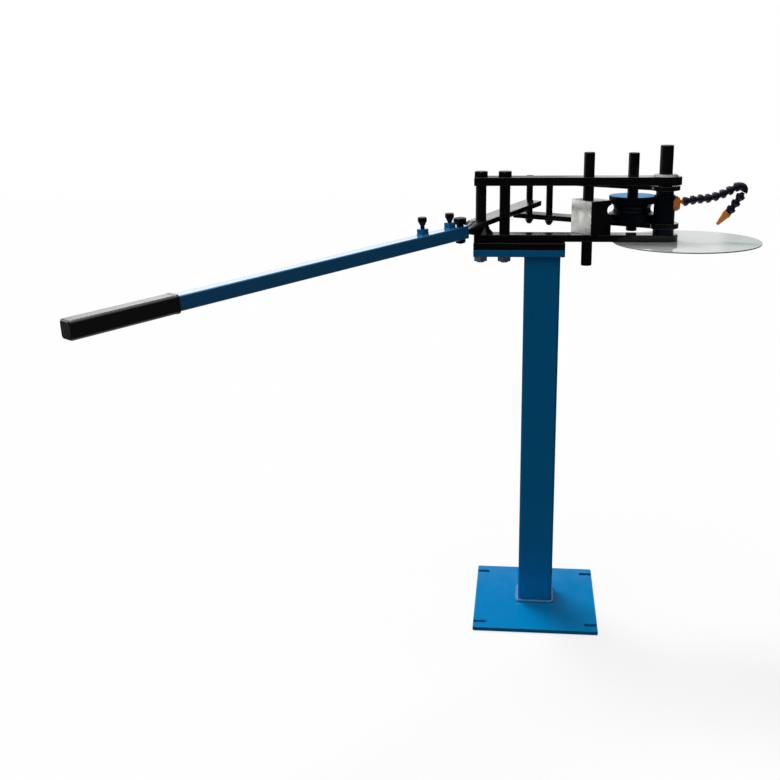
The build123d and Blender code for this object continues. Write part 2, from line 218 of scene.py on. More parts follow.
def blend(tree, factor, a, b, mode="MIX"):
    node = add(tree, "ShaderNodeMix", {0: factor, 6: a, 7: b}, data_type="RGBA", blend_type=mode)
    return node.outputs[2]


def remap(tree, value, lo, hi, to_lo=0.0, to_hi=1.0):
    node = add(tree, "ShaderNodeMapRange", {0: value, 1: lo, 2: hi, 3: to_lo, 4: to_hi})
    return node.outputs[0]


def noise(tree, vector, scale, detail=3.0, rough=0.55):
    values = {"Vector": vector, "Scale": scale, "Detail": detail, "Roughness": rough}
    return add(tree, "ShaderNodeTexNoise", values).outputs[0]


def grey(tree, value):
    return add(tree, "ShaderNodeCombineColor", {0: value, 1: value, 2: value}).outputs[0]


def object_place(tree):
    """Coordinates that ride with the piece."""
    return add(tree, "ShaderNodeTexCoord").outputs["Object"]


def node_group(name, kind, inputs, outputs):
    """An empty group with named sockets; gives the tree, its inputs and its outputs."""
    tree = bpy.data.node_groups.new(name, kind)
    for label, socket_type, *default in inputs:
        made = tree.interface.new_socket(label, in_out="INPUT", socket_type=socket_type)
        if default:
            made.default_value = default[0]
    for label, socket_type in outputs:
        tree.interface.new_socket(label, in_out="OUTPUT", socket_type=socket_type)
    return tree, tree.nodes.new("NodeGroupInput").outputs, tree.nodes.new("NodeGroupOutput").inputs


# Shader node groups


def shader_group(name, inputs, outputs):
    return node_group(name, "ShaderNodeTree", inputs, outputs)


def group_paint_film():
    """Sprayed paint: cloudy colour, uneven gloss and orange peel."""
    tree, ins, outs = shader_group(
        "paint_film",
        [("Colour", COLOUR, (0.5, 0.5, 0.5, 1)), ("Cloud", FLOAT, 0.08), ("Gloss Low", FLOAT, 0.2),
         ("Gloss High", FLOAT, 0.32), ("Peel Scale", FLOAT, 420.0)],
        [("Colour", COLOUR), ("Roughness", FLOAT), ("Height", FLOAT)])
    place = object_place(tree)
    cloud = math_of(tree, "SUBTRACT", noise(tree, place, 9.0, 4.0), 0.5)
    shade = grey(tree, math_of(tree, "MULTIPLY_ADD", cloud, ins["Cloud"], 1.0))
    patch = noise(tree, place, 28.0, 3.0)
    tree.links.new(blend(tree, 1.0, ins["Colour"], shade, "MULTIPLY"), outs["Colour"])
    tree.links.new(remap(tree, patch, 0.3, 0.7, ins["Gloss Low"], ins["Gloss High"]), outs["Roughness"])
    tree.links.new(noise(tree, place, ins["Peel Scale"], 2.0, 0.4), outs["Height"])
    return tree


def group_edge_rub():
    """Where edges are rubbed: 1 along a worn edge, 0 on the flats."""
    tree, ins, outs = shader_group(
        "edge_rub", [("Reach", FLOAT, 0.002), ("Patches", FLOAT, 45.0), ("Amount", FLOAT, 1.0)],
        [("Mask", FLOAT)])
    place = object_place(tree)
    soft = add(tree, "ShaderNodeBevel", {"Radius": ins["Reach"]}, samples=4).outputs[0]
    true = add(tree, "ShaderNodeNewGeometry").outputs["Normal"]
    dot = add(tree, "ShaderNodeVectorMath", {0: soft, 1: true}, operation="DOT_PRODUCT").outputs["Value"]
    edge = remap(tree, dot, 0.995, 0.90)
    broken = remap(tree, noise(tree, place, ins["Patches"], 5.0, 0.65), 0.45, 0.62)
    mask = math_of(tree, "MULTIPLY", edge, broken)
    tree.links.new(math_of(tree, "MULTIPLY", mask, ins["Amount"], clamp=True), outs["Mask"])
    return tree


def group_settled_dust():
    """Thin dust on faces that look up."""
    tree, ins, outs = shader_group("settled_dust", [("Amount", FLOAT, 0.1)], [("Mask", FLOAT)])
    normal = add(tree, "ShaderNodeNewGeometry").outputs["Normal"]
    up = add(tree, "ShaderNodeSeparateXYZ", {0: normal}).outputs[2]
    top = remap(tree, up, 0.6, 1.0)
    drift = remap(tree, noise(tree, object_place(tree), 60.0, 6.0, 0.7), 0.35, 0.75)
    mask = math_of(tree, "MULTIPLY", math_of(tree, "MULTIPLY", top, drift), ins["Amount"])
    tree.links.new(mask, outs["Mask"])
    return tree


def group_tool_marks():
    """Turning or grinding lines: noise drawn out along some of the axes."""
    tree, ins, outs = shader_group(
        "tool_marks", [("Stretch", VECTOR, (1.0, 1.0, 1.0)), ("Scale", FLOAT, 900.0)],
        [("Lines", FLOAT), ("Cloud", FLOAT)])
    place = object_place(tree)
    drawn = add(tree, "ShaderNodeVectorMath", {0: place, 1: ins["Stretch"]}, operation="MULTIPLY").outputs[0]
    tree.links.new(noise(tree, drawn, ins["Scale"], 3.0, 0.6), outs["Lines"])
    tree.links.new(noise(tree, place, 35.0, 4.0), outs["Cloud"])
    return tree


def group_turned_rings():
    """Fine rings about an upright axis, for faces cut on a lathe."""
    tree, ins, outs = shader_group(
        "turned_rings", [("Axis X", FLOAT, 0.0), ("Axis Y", FLOAT, 0.0), ("Rings", FLOAT, 1400.0)],
        [("Lines", FLOAT), ("Cloud", FLOAT)])
    place = object_place(tree)
    x, y, z = add(tree, "ShaderNodeSeparateXYZ", {0: place}).outputs
    dx = math_of(tree, "SUBTRACT", x, ins["Axis X"])
    dy = math_of(tree, "SUBTRACT", y, ins["Axis Y"])
    squares = math_of(tree, "ADD", math_of(tree, "MULTIPLY", dx, dx), math_of(tree, "MULTIPLY", dy, dy))
    reach = math_of(tree, "ADD", math_of(tree, "SQRT", squares), z)
    line = add(tree, "ShaderNodeTexNoise", {"W": math_of(tree, "MULTIPLY", reach, ins["Rings"]),
                                            "Scale": 1.0, "Detail": 3.0}, noise_dimensions="1D")
    tree.links.new(line.outputs[0], outs["Lines"])
    tree.links.new(noise(tree, place, 30.0, 4.0), outs["Cloud"])
    return tree


GROUPS = {
    "paint_film": group_paint_film,
    "edge_rub": group_edge_rub,
    "settled_dust": group_settled_dust,
    "tool_marks": group_tool_marks,
    "turned_rings": group_turned_rings,
}


def title(key):
    """A socket's name from a keyword."""
    return key.replace("_", " ").title().replace("Ior", "IOR")


def use(tree, name, **values):
    """One of the shared groups, placed in a finish with its own values."""
    made = bpy.data.node_groups.get(name) or GROUPS[name]()
    named = {title(key): value for key, value in values.items()}
    return add(tree, "ShaderNodeGroup", named, node_tree=made).outputs


# Finishes


def new_finish(name, **values):
    """A material with a Principled shader and the values that are the same all over."""
    made = bpy.data.materials.new(name)
    made.use_nodes = True
    tree = made.node_tree
    shader = tree.nodes["Principled BSDF"]
    for key, value in values.items():
        shader.inputs[title(key)].default_value = value
    return made, tree, shader


def surface(tree, shader, colour, roughness, height, strength, distance):
    """What changes over the surface, led to the shader."""
    relief = add(tree, "ShaderNodeBump", {"Height": height, "Strength": strength, "Distance": distance})
    tree.links.new(colour, shader.inputs["Base Color"])
    tree.links.new(roughness, shader.inputs["Roughness"])
    tree.links.new(relief.outputs[0], shader.inputs["Normal"])


def toned(colour, factor, lift=0.0):
    """A colour made darker or paler."""
    return tuple(min(1.0, c * factor + lift) for c in tuple(colour)[:3]) + (1,)


def finish_paint(name, colour, shine, coat, gloss, peel, cloud=0.10, rub=0.0, dust=0.0, coat_ior=1.5):
    """Sprayed paint with rubbed edges and dust; gloss is its lowest and highest roughness."""
    made, tree, shader = new_finish(name, specular_ior_level=shine, coat_weight=coat, coat_roughness=0.05,
                                    coat_ior=coat_ior)
    film = use(tree, "paint_film", colour=tuple(colour), cloud=cloud, gloss_low=gloss[0], gloss_high=gloss[1])
    worn = use(tree, "edge_rub", reach=0.0016, amount=rub)["Mask"]
    dusty = use(tree, "settled_dust", amount=dust)["Mask"]
    tone = blend(tree, worn, film["Colour"], toned(colour, 1.5, 0.03))
    tone = blend(tree, dusty, tone, (0.42, 0.41, 0.39, 1))
    rough = math_of(tree, "ADD", film["Roughness"], math_of(tree, "MULTIPLY", dusty, 0.5), clamp=True)
    surface(tree, shader, tone, rough, film["Height"], peel, 0.0004)
    return made


def finish_blue():
    return finish_paint("blue_enamel", finish().blue, shine=0.3, coat=0.3, gloss=(0.06, 0.12), peel=0.015)


def finish_handle():
    return finish_paint("blue_gloss_enamel", finish().blue, shine=0.5, coat=1.0, gloss=(0.08, 0.14),
                        peel=0.006, coat_ior=2.1)


def finish_black():
    return finish_paint("black_satin_paint", finish().black, shine=0.5, coat=0.4, gloss=(0.14, 0.26),
                        peel=0.03, cloud=0.35, rub=0.10, dust=0.02)


def finish_end_painted_shade():
    """Dull black of the follower block's end and groove, and of its other faces turned from the light:
    painted shade.
    """
    return finish_paint("dull_black_painted_shade", finish().black, shine=0.15, coat=0.0, gloss=(0.40, 0.52),
                        peel=0.03, cloud=0.35, rub=0.10)


def finish_gloss():
    return finish_paint("black_gloss_paint", finish().black, shine=0.5, coat=0.5, gloss=(0.16, 0.30),
                        peel=0.03, cloud=0.35, rub=0.10, dust=0.02, coat_ior=1.6)


def finish_metal(name, colour, metallic, gloss, lines, rub_tone, rub, depth):
    """Metal with tool marks and rubbed edges; lines is the function that places the marks."""
    made, tree, shader = new_finish(name, metallic=metallic)
    marks = lines(tree)
    base = blend(tree, remap(tree, marks["Lines"], 0.3, 0.7), toned(colour, 0.78), toned(colour, 1.18, 0.004))
    worn = use(tree, "edge_rub", reach=0.0012, patches=70.0, amount=rub)["Mask"]
    rough = remap(tree, marks["Cloud"], 0.3, 0.7, *gloss)
    surface(tree, shader, blend(tree, worn, base, (*rub_tone, 1)), rough, marks["Lines"], depth, 0.0002)
    return made


def drawn_marks(scale, *stretch):
    return lambda tree: use(tree, "tool_marks", stretch=stretch, scale=scale)


def rings_about(node, rings):
    middle = centre_of(node)
    return lambda tree: use(tree, "turned_rings", axis_x=middle.x, axis_y=middle.y, rings=rings)


LATHE_MARKS = drawn_marks(1600.0, 0.03, 0.03, 1.0)


def finish_oxide():
    return finish_metal("blackened_steel", finish().oxide, metallic=0.35, gloss=(0.30, 0.45),
                        lines=LATHE_MARKS, rub_tone=(0.05, 0.05, 0.052), rub=0.5, depth=0.10)


def finish_blued():
    return finish_metal("blued_steel", finish().blued, metallic=0.75, gloss=(0.22, 0.36),
                        lines=LATHE_MARKS, rub_tone=(0.16, 0.18, 0.22), rub=0.6, depth=0.12)


def finish_face_painted_sheen():
    """The die's turned face, brighter than its rim: its blue-grey colour and blue specular tint are a painted
    sheen and painted reflection for the light on its top, over real turning rings.
    """
    made = finish_metal("blued_steel_painted_sheen", finish().face, metallic=1.0, gloss=(0.12, 0.20),
                        lines=rings_about("roller_die", 900.0),
                        rub_tone=(0.35, 0.50, 0.66), rub=0.4, depth=0.02)
    # Blue specular tint: painted reflection of light on the die's top
    made.node_tree.nodes["Principled BSDF"].inputs["Specular Tint"].default_value = (0.25, 0.55, 0.85, 1)
    return made


def finish_steel():
    return finish_metal("ground_steel", finish().steel, metallic=0.85, gloss=(0.20, 0.34),
                        lines=drawn_marks(1800.0, 0.5, 0.5, 0.04),
                        rub_tone=(0.75, 0.75, 0.74), rub=0.6, depth=0.10)


def finish_zinc():
    return finish_metal("zinc_plating", finish().zinc, metallic=0.35, gloss=(0.24, 0.38),
                        lines=drawn_marks(420.0, 1.0, 1.0, 1.0),
                        rub_tone=(0.80, 0.80, 0.80), rub=0.3, depth=0.05)


def finish_disc():
    made, tree, shader = new_finish("mirror_disc", metallic=0.15)
    rings = rings_about("dial_disc", 1600.0)(tree)
    tone = finish().disc
    colour = blend(tree, remap(tree, rings["Cloud"], 0.35, 0.65), toned(tone, 0.95), tuple(tone))
    rough = remap(tree, rings["Cloud"], 0.3, 0.7, 0.01, 0.03)
    surface(tree, shader, colour, rough, rings["Lines"], 0.0004, 0.0002)
    return made


def finish_plastic(name, colour, gloss, grain=700.0, depth=0.06, coat=0.0, coat_ior=1.5):
    """Moulded plastic; grain is the scale of its texture."""
    made, tree, shader = new_finish(name, coat_weight=coat, coat_roughness=0.18, coat_ior=coat_ior)
    film = use(tree, "paint_film", colour=tuple(colour), cloud=0.22, gloss_low=gloss[0], gloss_high=gloss[1],
               peel_scale=grain)
    worn = use(tree, "edge_rub", reach=0.0010, patches=120.0, amount=0.35)["Mask"]
    tone = blend(tree, worn, film["Colour"], toned(colour, 1.25, 0.01))
    surface(tree, shader, tone, film["Roughness"], film["Height"], depth, 0.0003)
    return made


def finish_grip():
    return finish_plastic("grip_vinyl", finish().grip, (0.20, 0.30), grain=900.0, depth=0.012, coat=1.0,
                          coat_ior=2.1)


def finish_navy():
    return finish_plastic("navy_links", finish().navy, (0.24, 0.36))


def finish_dark():
    return finish_plastic("dark_connector", toned(finish().navy, 0.7), (0.3, 0.42))


def finish_orange():
    return finish_plastic("orange_nozzle", finish().orange, (0.28, 0.40))


FINISHES = {
    "blue_paint": finish_blue,
    "weld": finish_handle,
    "black_paint": finish_black,
    "black_steel": finish_oxide,
    "die_steel": finish_blued,
    "silver_steel": finish_steel,
    "zinc": finish_zinc,
    "mirror_disc": finish_disc,
    "grip_rubber": finish_grip,
    "navy_plastic": finish_navy,
    "dark_plastic": finish_dark,
    "orange_plastic": finish_orange,
}
MADE = {}


def made_by(maker):
    """A finish, made once."""
    if maker not in MADE:
        MADE[maker] = maker()
    return MADE[maker]


def finish_for(slot):
    return made_by(FINISHES[slot])


# Outlines, in metres


def arc(x, y, r, a0, a1, steps):
    return [(x + r * math.cos(a0 + (a1 - a0) * i / steps), y + r * math.sin(a0 + (a1 - a0) * i / steps))
            for i in range(steps + 1)]


def circle(x, y, r, steps=64):
    """A hole's loop, clockwise."""
    return arc(x, y, r, 0.0, -TURN, steps)[:-1]


def rounded(points, radius, steps=4):
    """A closed outline whose corners are arcs; radius is one number or one for each corner."""
    radii = radius if isinstance(radius, (list, tuple)) else [radius] * len(points)
    out = []
    for i, corner in enumerate(points):
        if radii[i] <= 0:
            out.append(tuple(corner))
            continue
        b = Vector(corner)
        u = (Vector(points[i - 1]) - b).normalized()
        v = (Vector(points[(i + 1) % len(points)]) - b).normalized()
        half = u.angle(v) / 2
        middle = b + (u + v).normalized() * (radii[i] / math.sin(half))
        start = b + u * (radii[i] / math.tan(half)) - middle
        stop = b + v * (radii[i] / math.tan(half)) - middle
        a0 = math.atan2(start.y, start.x)
        turn = (math.atan2(stop.y, stop.x) - a0 + math.pi) % TURN - math.pi
        out += arc(middle.x, middle.y, radii[i], a0, a0 + turn, steps)
    return out


def oblong(x0, y0, x1, y1):
    """The corners of a rectangle, anticlockwise."""
    return [(x0, y0), (x1, y0), (x1, y1), (x0, y1)]


def square(half, radius, steps=5):
    return rounded(oblong(-half, -half, half, half), radius, steps)


def inset(loop, distance):
    """The loop moved to its left by a distance, with mitred corners."""
    out = []
    count = len(loop)
    for i in range(count):
        a, b, c = (Vector(loop[(i + k) % count]) for k in (-1, 0, 1))
        n0, n1 = (b - a).orthogonal().normalized(), (c - b).orthogonal().normalized()
        out.append(b + (n0 + n1) * (distance / (1 + n0.dot(n1))))
    return out


def spun(r, z, steps):
    """Points of a level circle about Z."""
    return [(r * math.cos(TURN * i / steps), r * math.sin(TURN * i / steps), z) for i in range(steps)]


# Mesh builders


def skin(bm, rings):
    """Quads from each ring of vertices to the next."""
    for a, b in zip(rings, rings[1:]):
        for i in range(len(a)):
            j = (i + 1) % len(a)
            bm.faces.new((a[i], a[j], b[j], b[i]))


def loft(sections, closed=False):
    """A skin through loops of the same number of points; closed joins the last loop to the first."""
    bm = bmesh.new()
    rings = [[bm.verts.new(p) for p in loop] for loop in sections]
    if closed:
        rings.append(rings[0])
    else:
        bm.faces.new(list(reversed(rings[0])))
        bm.faces.new(rings[-1])
    skin(bm, rings)
    bmesh.ops.recalc_face_normals(bm, faces=bm.faces)
    return bm


def slab(loops, z0, z1, ease, steps=3):
    """A flat plate with eased edges: the first loop runs anticlockwise, holes run clockwise."""
    bm = bmesh.new()
    levels = []
    for k in range(steps + 1):
        a = QUARTER * k / steps
        levels.append((ease * (1 - math.sin(a)), ease * (1 - math.cos(a))))
    rows = [(d, z0 + h) for d, h in levels] + [(d, z1 - h) for d, h in reversed(levels)]
    bottom, top, flat = [], [], []
    for loop in loops:
        rings = [[bm.verts.new((p[0], p[1], z)) for p in inset(loop, d)] for d, z in rows]
        skin(bm, rings)
        bottom += rings[0]
        top += rings[-1]
        flat.append([v.co for v in rings[0]])
    for a, b, c in tessellate_polygon(flat):
        pa, pb, pc = bottom[a].co, bottom[b].co, bottom[c].co
        if (pb - pa).cross(pc - pa).z < 0:
            b, c = c, b
        bm.faces.new((top[a], top[b], top[c]))
        bm.faces.new((bottom[a], bottom[c], bottom[b]))
    return bm


def turned(profile, steps=64, closed=False):
    """A lathe piece about Z from (radius, height) points; closed for a ring with a bore."""
    bm = bmesh.new()
    rings = []
    for r, z in profile:
        on_axis = r < 1e-7
        rings.append([bm.verts.new(p) for p in ([(0, 0, z)] if on_axis else spun(r, z, steps))])
    for a, b in zip(rings, rings[1:] + rings[:1] if closed else rings[1:]):
        for i in range(steps):
            j = (i + 1) % steps
            loop = [a[i % len(a)], a[j % len(a)], b[j % len(b)], b[i % len(b)]]
            loop = [v for k, v in enumerate(loop) if v not in loop[:k]]
            if len(loop) > 2:
                bm.faces.new(loop)
    bmesh.ops.recalc_face_normals(bm, faces=bm.faces)
    return bm


def shaft(r, z0, z1, low=0.001, high=0.001, steps=64):
    """A round bar with chamfered, softened ends."""
    soft = 0.25
    points = [(0, z0)]
    points += [(r - low, z0), (r - low * soft, z0 + low * (1 - soft)), (r, z0 + low)]
    points += [(r, z1 - high), (r - high * soft, z1 - high * (1 - soft)), (r - high, z1), (0, z1)]
    return turned(points, steps)


def borer(r, z0, z1, steps=64):
    """A plain bar that cuts a hole."""
    return shaft(r, z0, z1, CUTTER_EASE, CUTTER_EASE, steps)


def ring(bore, r, z0, z1, ease=0.0006, steps=64):
    return turned(rounded(oblong(bore, z0, r, z1), ease, 3), steps, closed=True)


def hexed(across, z0, z1, bore=0.0, low=True, high=True, per_side=8):
    """A bolt head or nut: a hexagon whose corners are turned off at 30 degrees, below and above if asked."""
    steps = 6 * per_side
    apothem = across / 2
    crown = apothem * 0.965
    rows = [[], [], [], []]
    for i in range(steps):
        a = TURN * i / steps
        r = apothem / math.cos((a + math.pi / 6) % (math.pi / 3) - math.pi / 6)
        drop_off = (r - crown) * math.tan(math.radians(30))
        (r0, h0), (r3, h3) = ((crown, drop_off) if off else (r * 0.99, 0.0002) for off in (low, high))
        for row, reach, z in zip(rows, (r0, r, r, r3), (z0, z0 + h0, z1 - h3, z1)):
            row.append((reach * math.cos(a), reach * math.sin(a), z))
    if bore > 0:
        flare, lip = bore * 1.08, bore * 0.08
        inside = ((flare, z1), (bore, z1 - lip), (bore, z0 + lip), (flare, z0))
        rows += [spun(r, z, steps) for r, z in inside]
    return loft(rows, closed=bore > 0)


def threaded(r, pitch, z0, z1, steps=40):
    """A threaded bar: a cylinder whose wall rises and falls along a helix."""
    rows = max(3, int((z1 - z0) / pitch * 8))
    depth = 0.55 * pitch
    rings = []
    for k in range(rows + 1):
        z = z0 + (z1 - z0) * k / rows
        rings.append([])
        for i in range(steps):
            a = TURN * i / steps
            phase = (z / pitch - i / steps) % 1.0
            cut = depth * max(0.0, 1 - abs(phase - 0.5) * 2.4)
            rings[-1].append(((r - cut) * math.cos(a), (r - cut) * math.sin(a), z))
    return loft(rings)


def moved(bm, x=0.0, y=0.0, z=0.0, matrix=None):
    bm.transform(matrix or Matrix.Translation((x, y, z)))
    return bm


def mesh_of(*parts):
    """One mesh from several builder results or meshes, which are used up."""
    whole = bmesh.new()
    for part in parts:
        piece = part
        if isinstance(part, bmesh.types.BMesh):
            piece = bpy.data.meshes.new("part")
            part.to_mesh(piece)
            part.free()
        whole.from_mesh(piece)
        bpy.data.meshes.remove(piece)
    mesh = bpy.data.meshes.new("piece")
    whole.to_mesh(mesh)
    whole.free()
    return mesh


def loose(name, data):
    obj = bpy.data.objects.new(name, data)
    bpy.context.scene.collection.objects.link(obj)
    return obj


def evaluated(obj):
    """The plain mesh of an object with its modifiers applied."""
    graph = bpy.context.evaluated_depsgraph_get()
    graph.update()
    return bpy.data.meshes.new_from_object(obj.evaluated_get(graph), preserve_all_data_layers=True,
                                           depsgraph=graph)


def drop(*objs):
    """Removes helper objects and their data."""
    for obj in objs:
        data = obj.data
        bpy.data.objects.remove(obj)
        if isinstance(data, bpy.types.Mesh):
            bpy.data.meshes.remove(data)
        elif isinstance(data, bpy.types.Curve):
            bpy.data.curves.remove(data)


def cut_away(mesh, cutter):
    """The mesh less a closed builder result."""
    obj, tool = loose("cut", mesh), loose("tool", mesh_of(cutter))
    made = obj.modifiers.new("cut", "BOOLEAN")
    made.operation = "DIFFERENCE"
    made.solver = "EXACT"
    made.object = tool
    out = evaluated(obj)
    drop(obj, tool)
    return out


def dress(name, mesh, body, slot, *nodes, sharp=38.0, finishes=None):
    """A finished piece: smooth faces, sharp edges, its finish, and the CAD nodes that it stands for."""
    for face in mesh.polygons:
        face.use_smooth = True
    mesh.set_sharp_from_angle(angle=math.radians(sharp))
    if not mesh.materials:
        for made in finishes or [finish_for(slot)]:
            mesh.materials.append(made)
    obj = loose(name, mesh)
    weigh = obj.modifiers.new("normals", "WEIGHTED_NORMAL")
    weigh.keep_sharp = True
    plain = evaluated(obj)
    drop(obj)
    plain.name = name
    obj = loose(name, plain)
    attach(obj, body)
    if nodes:
        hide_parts(*nodes)
    return obj


# Geometry Nodes: fasteners on points, links along a path, weld beads


def geometry_tree(name, inputs):
    return node_group(name, "GeometryNodeTree", [("Geometry", GEOMETRY), *inputs], [("Geometry", GEOMETRY)])


def closing(tree, instances, ins, outs):
    """The end of each tree: real geometry with its finish."""
    real = add(tree, "GeometryNodeRealizeInstances", {0: instances})
    done = add(tree, "GeometryNodeSetMaterial", {"Geometry": real.outputs[0], "Material": ins["Finish"]})
    tree.links.new(done.outputs[0], outs[0])


def turned_along(tree, axis):
    """A turn that lays an instance's axis along the curve."""
    lead = add(tree, "GeometryNodeInputTangent").outputs[0]
    return add(tree, "FunctionNodeAlignRotationToVector", {"Vector": lead}, axis=axis).outputs[0]


def tree_on_points():
    """The same piece on every point of a mesh."""
    tree, ins, outs = geometry_tree("fasteners_on_points", [("Piece", OBJECT), ("Finish", MATERIAL)])
    piece = add(tree, "GeometryNodeObjectInfo", {"Object": ins["Piece"]}).outputs["Geometry"]
    put = add(tree, "GeometryNodeInstanceOnPoints", {"Points": ins["Geometry"], "Instance": piece})
    closing(tree, put.outputs[0], ins, outs)
    return tree


def tree_along_path():
    """The same piece on the middle of every other even step along a curve, turned along it."""
    tree, ins, outs = geometry_tree("links_along_path",
                                    [("Piece", OBJECT), ("Count", INT, 7), ("Finish", MATERIAL)])
    piece = add(tree, "GeometryNodeObjectInfo", {"Object": ins["Piece"]}).outputs["Geometry"]
    path = add(tree, "GeometryNodeResampleCurve", {"Curve": ins["Geometry"], "Count": ins["Count"]})
    odd = math_of(tree, "MODULO", add(tree, "GeometryNodeInputIndex").outputs[0], 2.0)
    put = add(tree, "GeometryNodeInstanceOnPoints", {
        "Points": path.outputs[0], "Selection": odd, "Instance": piece, "Rotation": turned_along(tree, "Z")})
    closing(tree, put.outputs[0], ins, outs)
    return tree


def tree_weld_bead():
    """Overlapping ripples of weld along a curve, a little uneven."""
    tree, ins, outs = geometry_tree(
        "weld_bead", [("Pitch", FLOAT, 0.0026), ("Size", FLOAT, 0.0055), ("Uneven", FLOAT, 0.12),
                      ("Seed", INT, 7), ("Finish", MATERIAL)])
    path = add(tree, "GeometryNodeResampleCurve", {"Curve": ins["Geometry"], "Length": ins["Pitch"]},
               mode="LENGTH")
    ripple = add(tree, "GeometryNodeMeshUVSphere", {"Segments": 14, "Rings": 8, "Radius": ins["Size"]})
    low = math_of(tree, "SUBTRACT", 1.0, ins["Uneven"])
    high = math_of(tree, "ADD", 1.0, ins["Uneven"])
    spread = add(tree, "FunctionNodeRandomValue", {2: low, 3: high, "Seed": ins["Seed"]}, data_type="FLOAT")
    shape = add(tree, "ShaderNodeVectorMath", {0: (0.62, 1.0, 1.0), "Scale": spread.outputs[1]},
                operation="SCALE")
    put = add(tree, "GeometryNodeInstanceOnPoints", {
        "Points": path.outputs[0], "Instance": ripple.outputs[0], "Rotation": turned_along(tree, "X"),
        "Scale": shape.outputs[0]})
    smooth = add(tree, "GeometryNodeSetShadeSmooth", {"Geometry": put.outputs[0]})
    closing(tree, smooth.outputs[0], ins, outs)
    return tree


TREES = {
    "fasteners_on_points": tree_on_points,
    "links_along_path": tree_along_path,
    "weld_bead": tree_weld_bead,
}


def grown(source, tree_name, **values):
    """Runs a Geometry Nodes tree on an object and gives the plain mesh."""
    tree = bpy.data.node_groups.get(tree_name) or TREES[tree_name]()
    made = source.modifiers.new(tree_name, "NODES")
    made.node_group = tree
    for item in tree.interface.items_tree:
        if item.in_out == "INPUT" and item.name in values:
            made[item.identifier] = values[item.name]
    mesh = evaluated(source)
    source.modifiers.remove(made)
    return mesh


def on_points(points, piece_mesh, slot):
    """The piece's mesh repeated on points."""
    spots = bpy.data.meshes.new("spots")
    spots.from_pydata([tuple(p) for p in points], [], [])
    source, piece = loose("spots", spots), loose("piece", piece_mesh)
    mesh = grown(source, "fasteners_on_points", Piece=piece, Finish=finish_for(slot))
    drop(source, piece)
    return mesh


def path_curve(points, closed=False):
    data = bpy.data.curves.new("path", "CURVE")
    data.dimensions = "3D"
    line = data.splines.new("POLY")
    line.points.add(len(points) - 1)
    for spot, p in zip(line.points, points):
        spot.co = (*p, 1)
    line.use_cyclic_u = closed
    return loose("path", data)


def along_path(points, piece_mesh, slot):
    """The piece's mesh on every length of a path."""
    source, piece = path_curve(points), loose("piece", piece_mesh)
    ends_and_middles = 2 * len(points) - 1
    mesh = grown(source, "links_along_path", Piece=piece, Count=ends_and_middles, Finish=finish_for(slot))
    drop(source, piece)
    return mesh


def weld_along(points, size, pitch, seed):
    """A bead of weld round a closed path."""
    source = path_curve(points, closed=True)
    mesh = grown(source, "weld_bead", Pitch=pitch, Size=size, Seed=seed, Finish=finish_for("weld"))
    drop(source)
    return mesh


def round_skin(course, radius):
    """A round bar along a course."""
    source = path_curve(course)
    source.data.bevel_depth = radius
    source.data.bevel_resolution = 6
    source.data.use_fill_caps = True
    mesh = evaluated(source)
    drop(source)
    return mesh


# Frames and profiles that several pieces share


def swing_frame():
    """Local -X runs along the swing frame from the pivot."""
    return Matrix.Translation((PIVOT.x, PIVOT.y, 0)) @ Matrix.Rotation(-sizes().swing_turn, 4, "Z")


def lever_frame(tilt, lift):
    """Local +X runs to the grip and +Z stays up, from a height above the lower long plate."""
    turn = sizes().lever_turn
    c, s = math.cos(tilt), math.sin(tilt)
    x = Vector((-math.cos(turn) * c, -math.sin(turn) * c, -s))
    z = Vector((-math.cos(turn) * s, -math.sin(turn) * s, c))
    place = Matrix((x, z.cross(x), z)).transposed().to_4x4()
    height = top_of("lower_frame_plate") + lift
    return Matrix.Translation((LEVER_POST.x, LEVER_POST.y, height)) @ place


def heading(degrees):
    """A direction in the hose's upright plane, in degrees above +X."""
    a = math.radians(degrees)
    return Vector((math.cos(a), 0, math.sin(a)))


def facing(spot, degrees):
    """Local +Z runs along a heading of the hose from a spot."""
    return Matrix.Translation(spot) @ Matrix.Rotation(math.radians(90 - degrees), 4, "Y")


def hose_start():
    """Middle of the fitting's ball, on the swivel's upright axis."""
    return SWIVEL + Vector((0, 0, 0.0044))


def link_socket(neck):
    """A link's socket, from the top of its hollow round the rim to the neck."""
    gap, r = BALL + FREE, SKIRT
    hollow = (math.radians(104 * i / 10) for i in range(11))
    return [(gap * math.sin(a), gap * math.cos(a)) for a in hollow] + [
        (r - 0.0012, -0.0024), (r - 0.0003, -0.0020), (r, -0.0010), (r, 0.0042), (r - 0.0004, 0.0054),
        (r - 0.0012, 0.0064), (neck + 0.0006, 0.0094), (neck, 0.0104)]


def link_ball(z, neck):
    """A link's ball, from its neck to its pole."""
    start = -math.acos(neck / BALL)
    rise = (start + (QUARTER - start) * i / 14 for i in range(14))
    return [(BALL * math.cos(a), z + BALL * math.sin(a)) for a in rise] + [(0, z + BALL)]


def ball_stem(below, steps):
    """A ball on a stem that ends at a distance below it."""
    return turned([(0, -below), (STEM, -below)] + link_ball(0.0, STEM), steps)


# Operators, one for each piece or group of like pieces


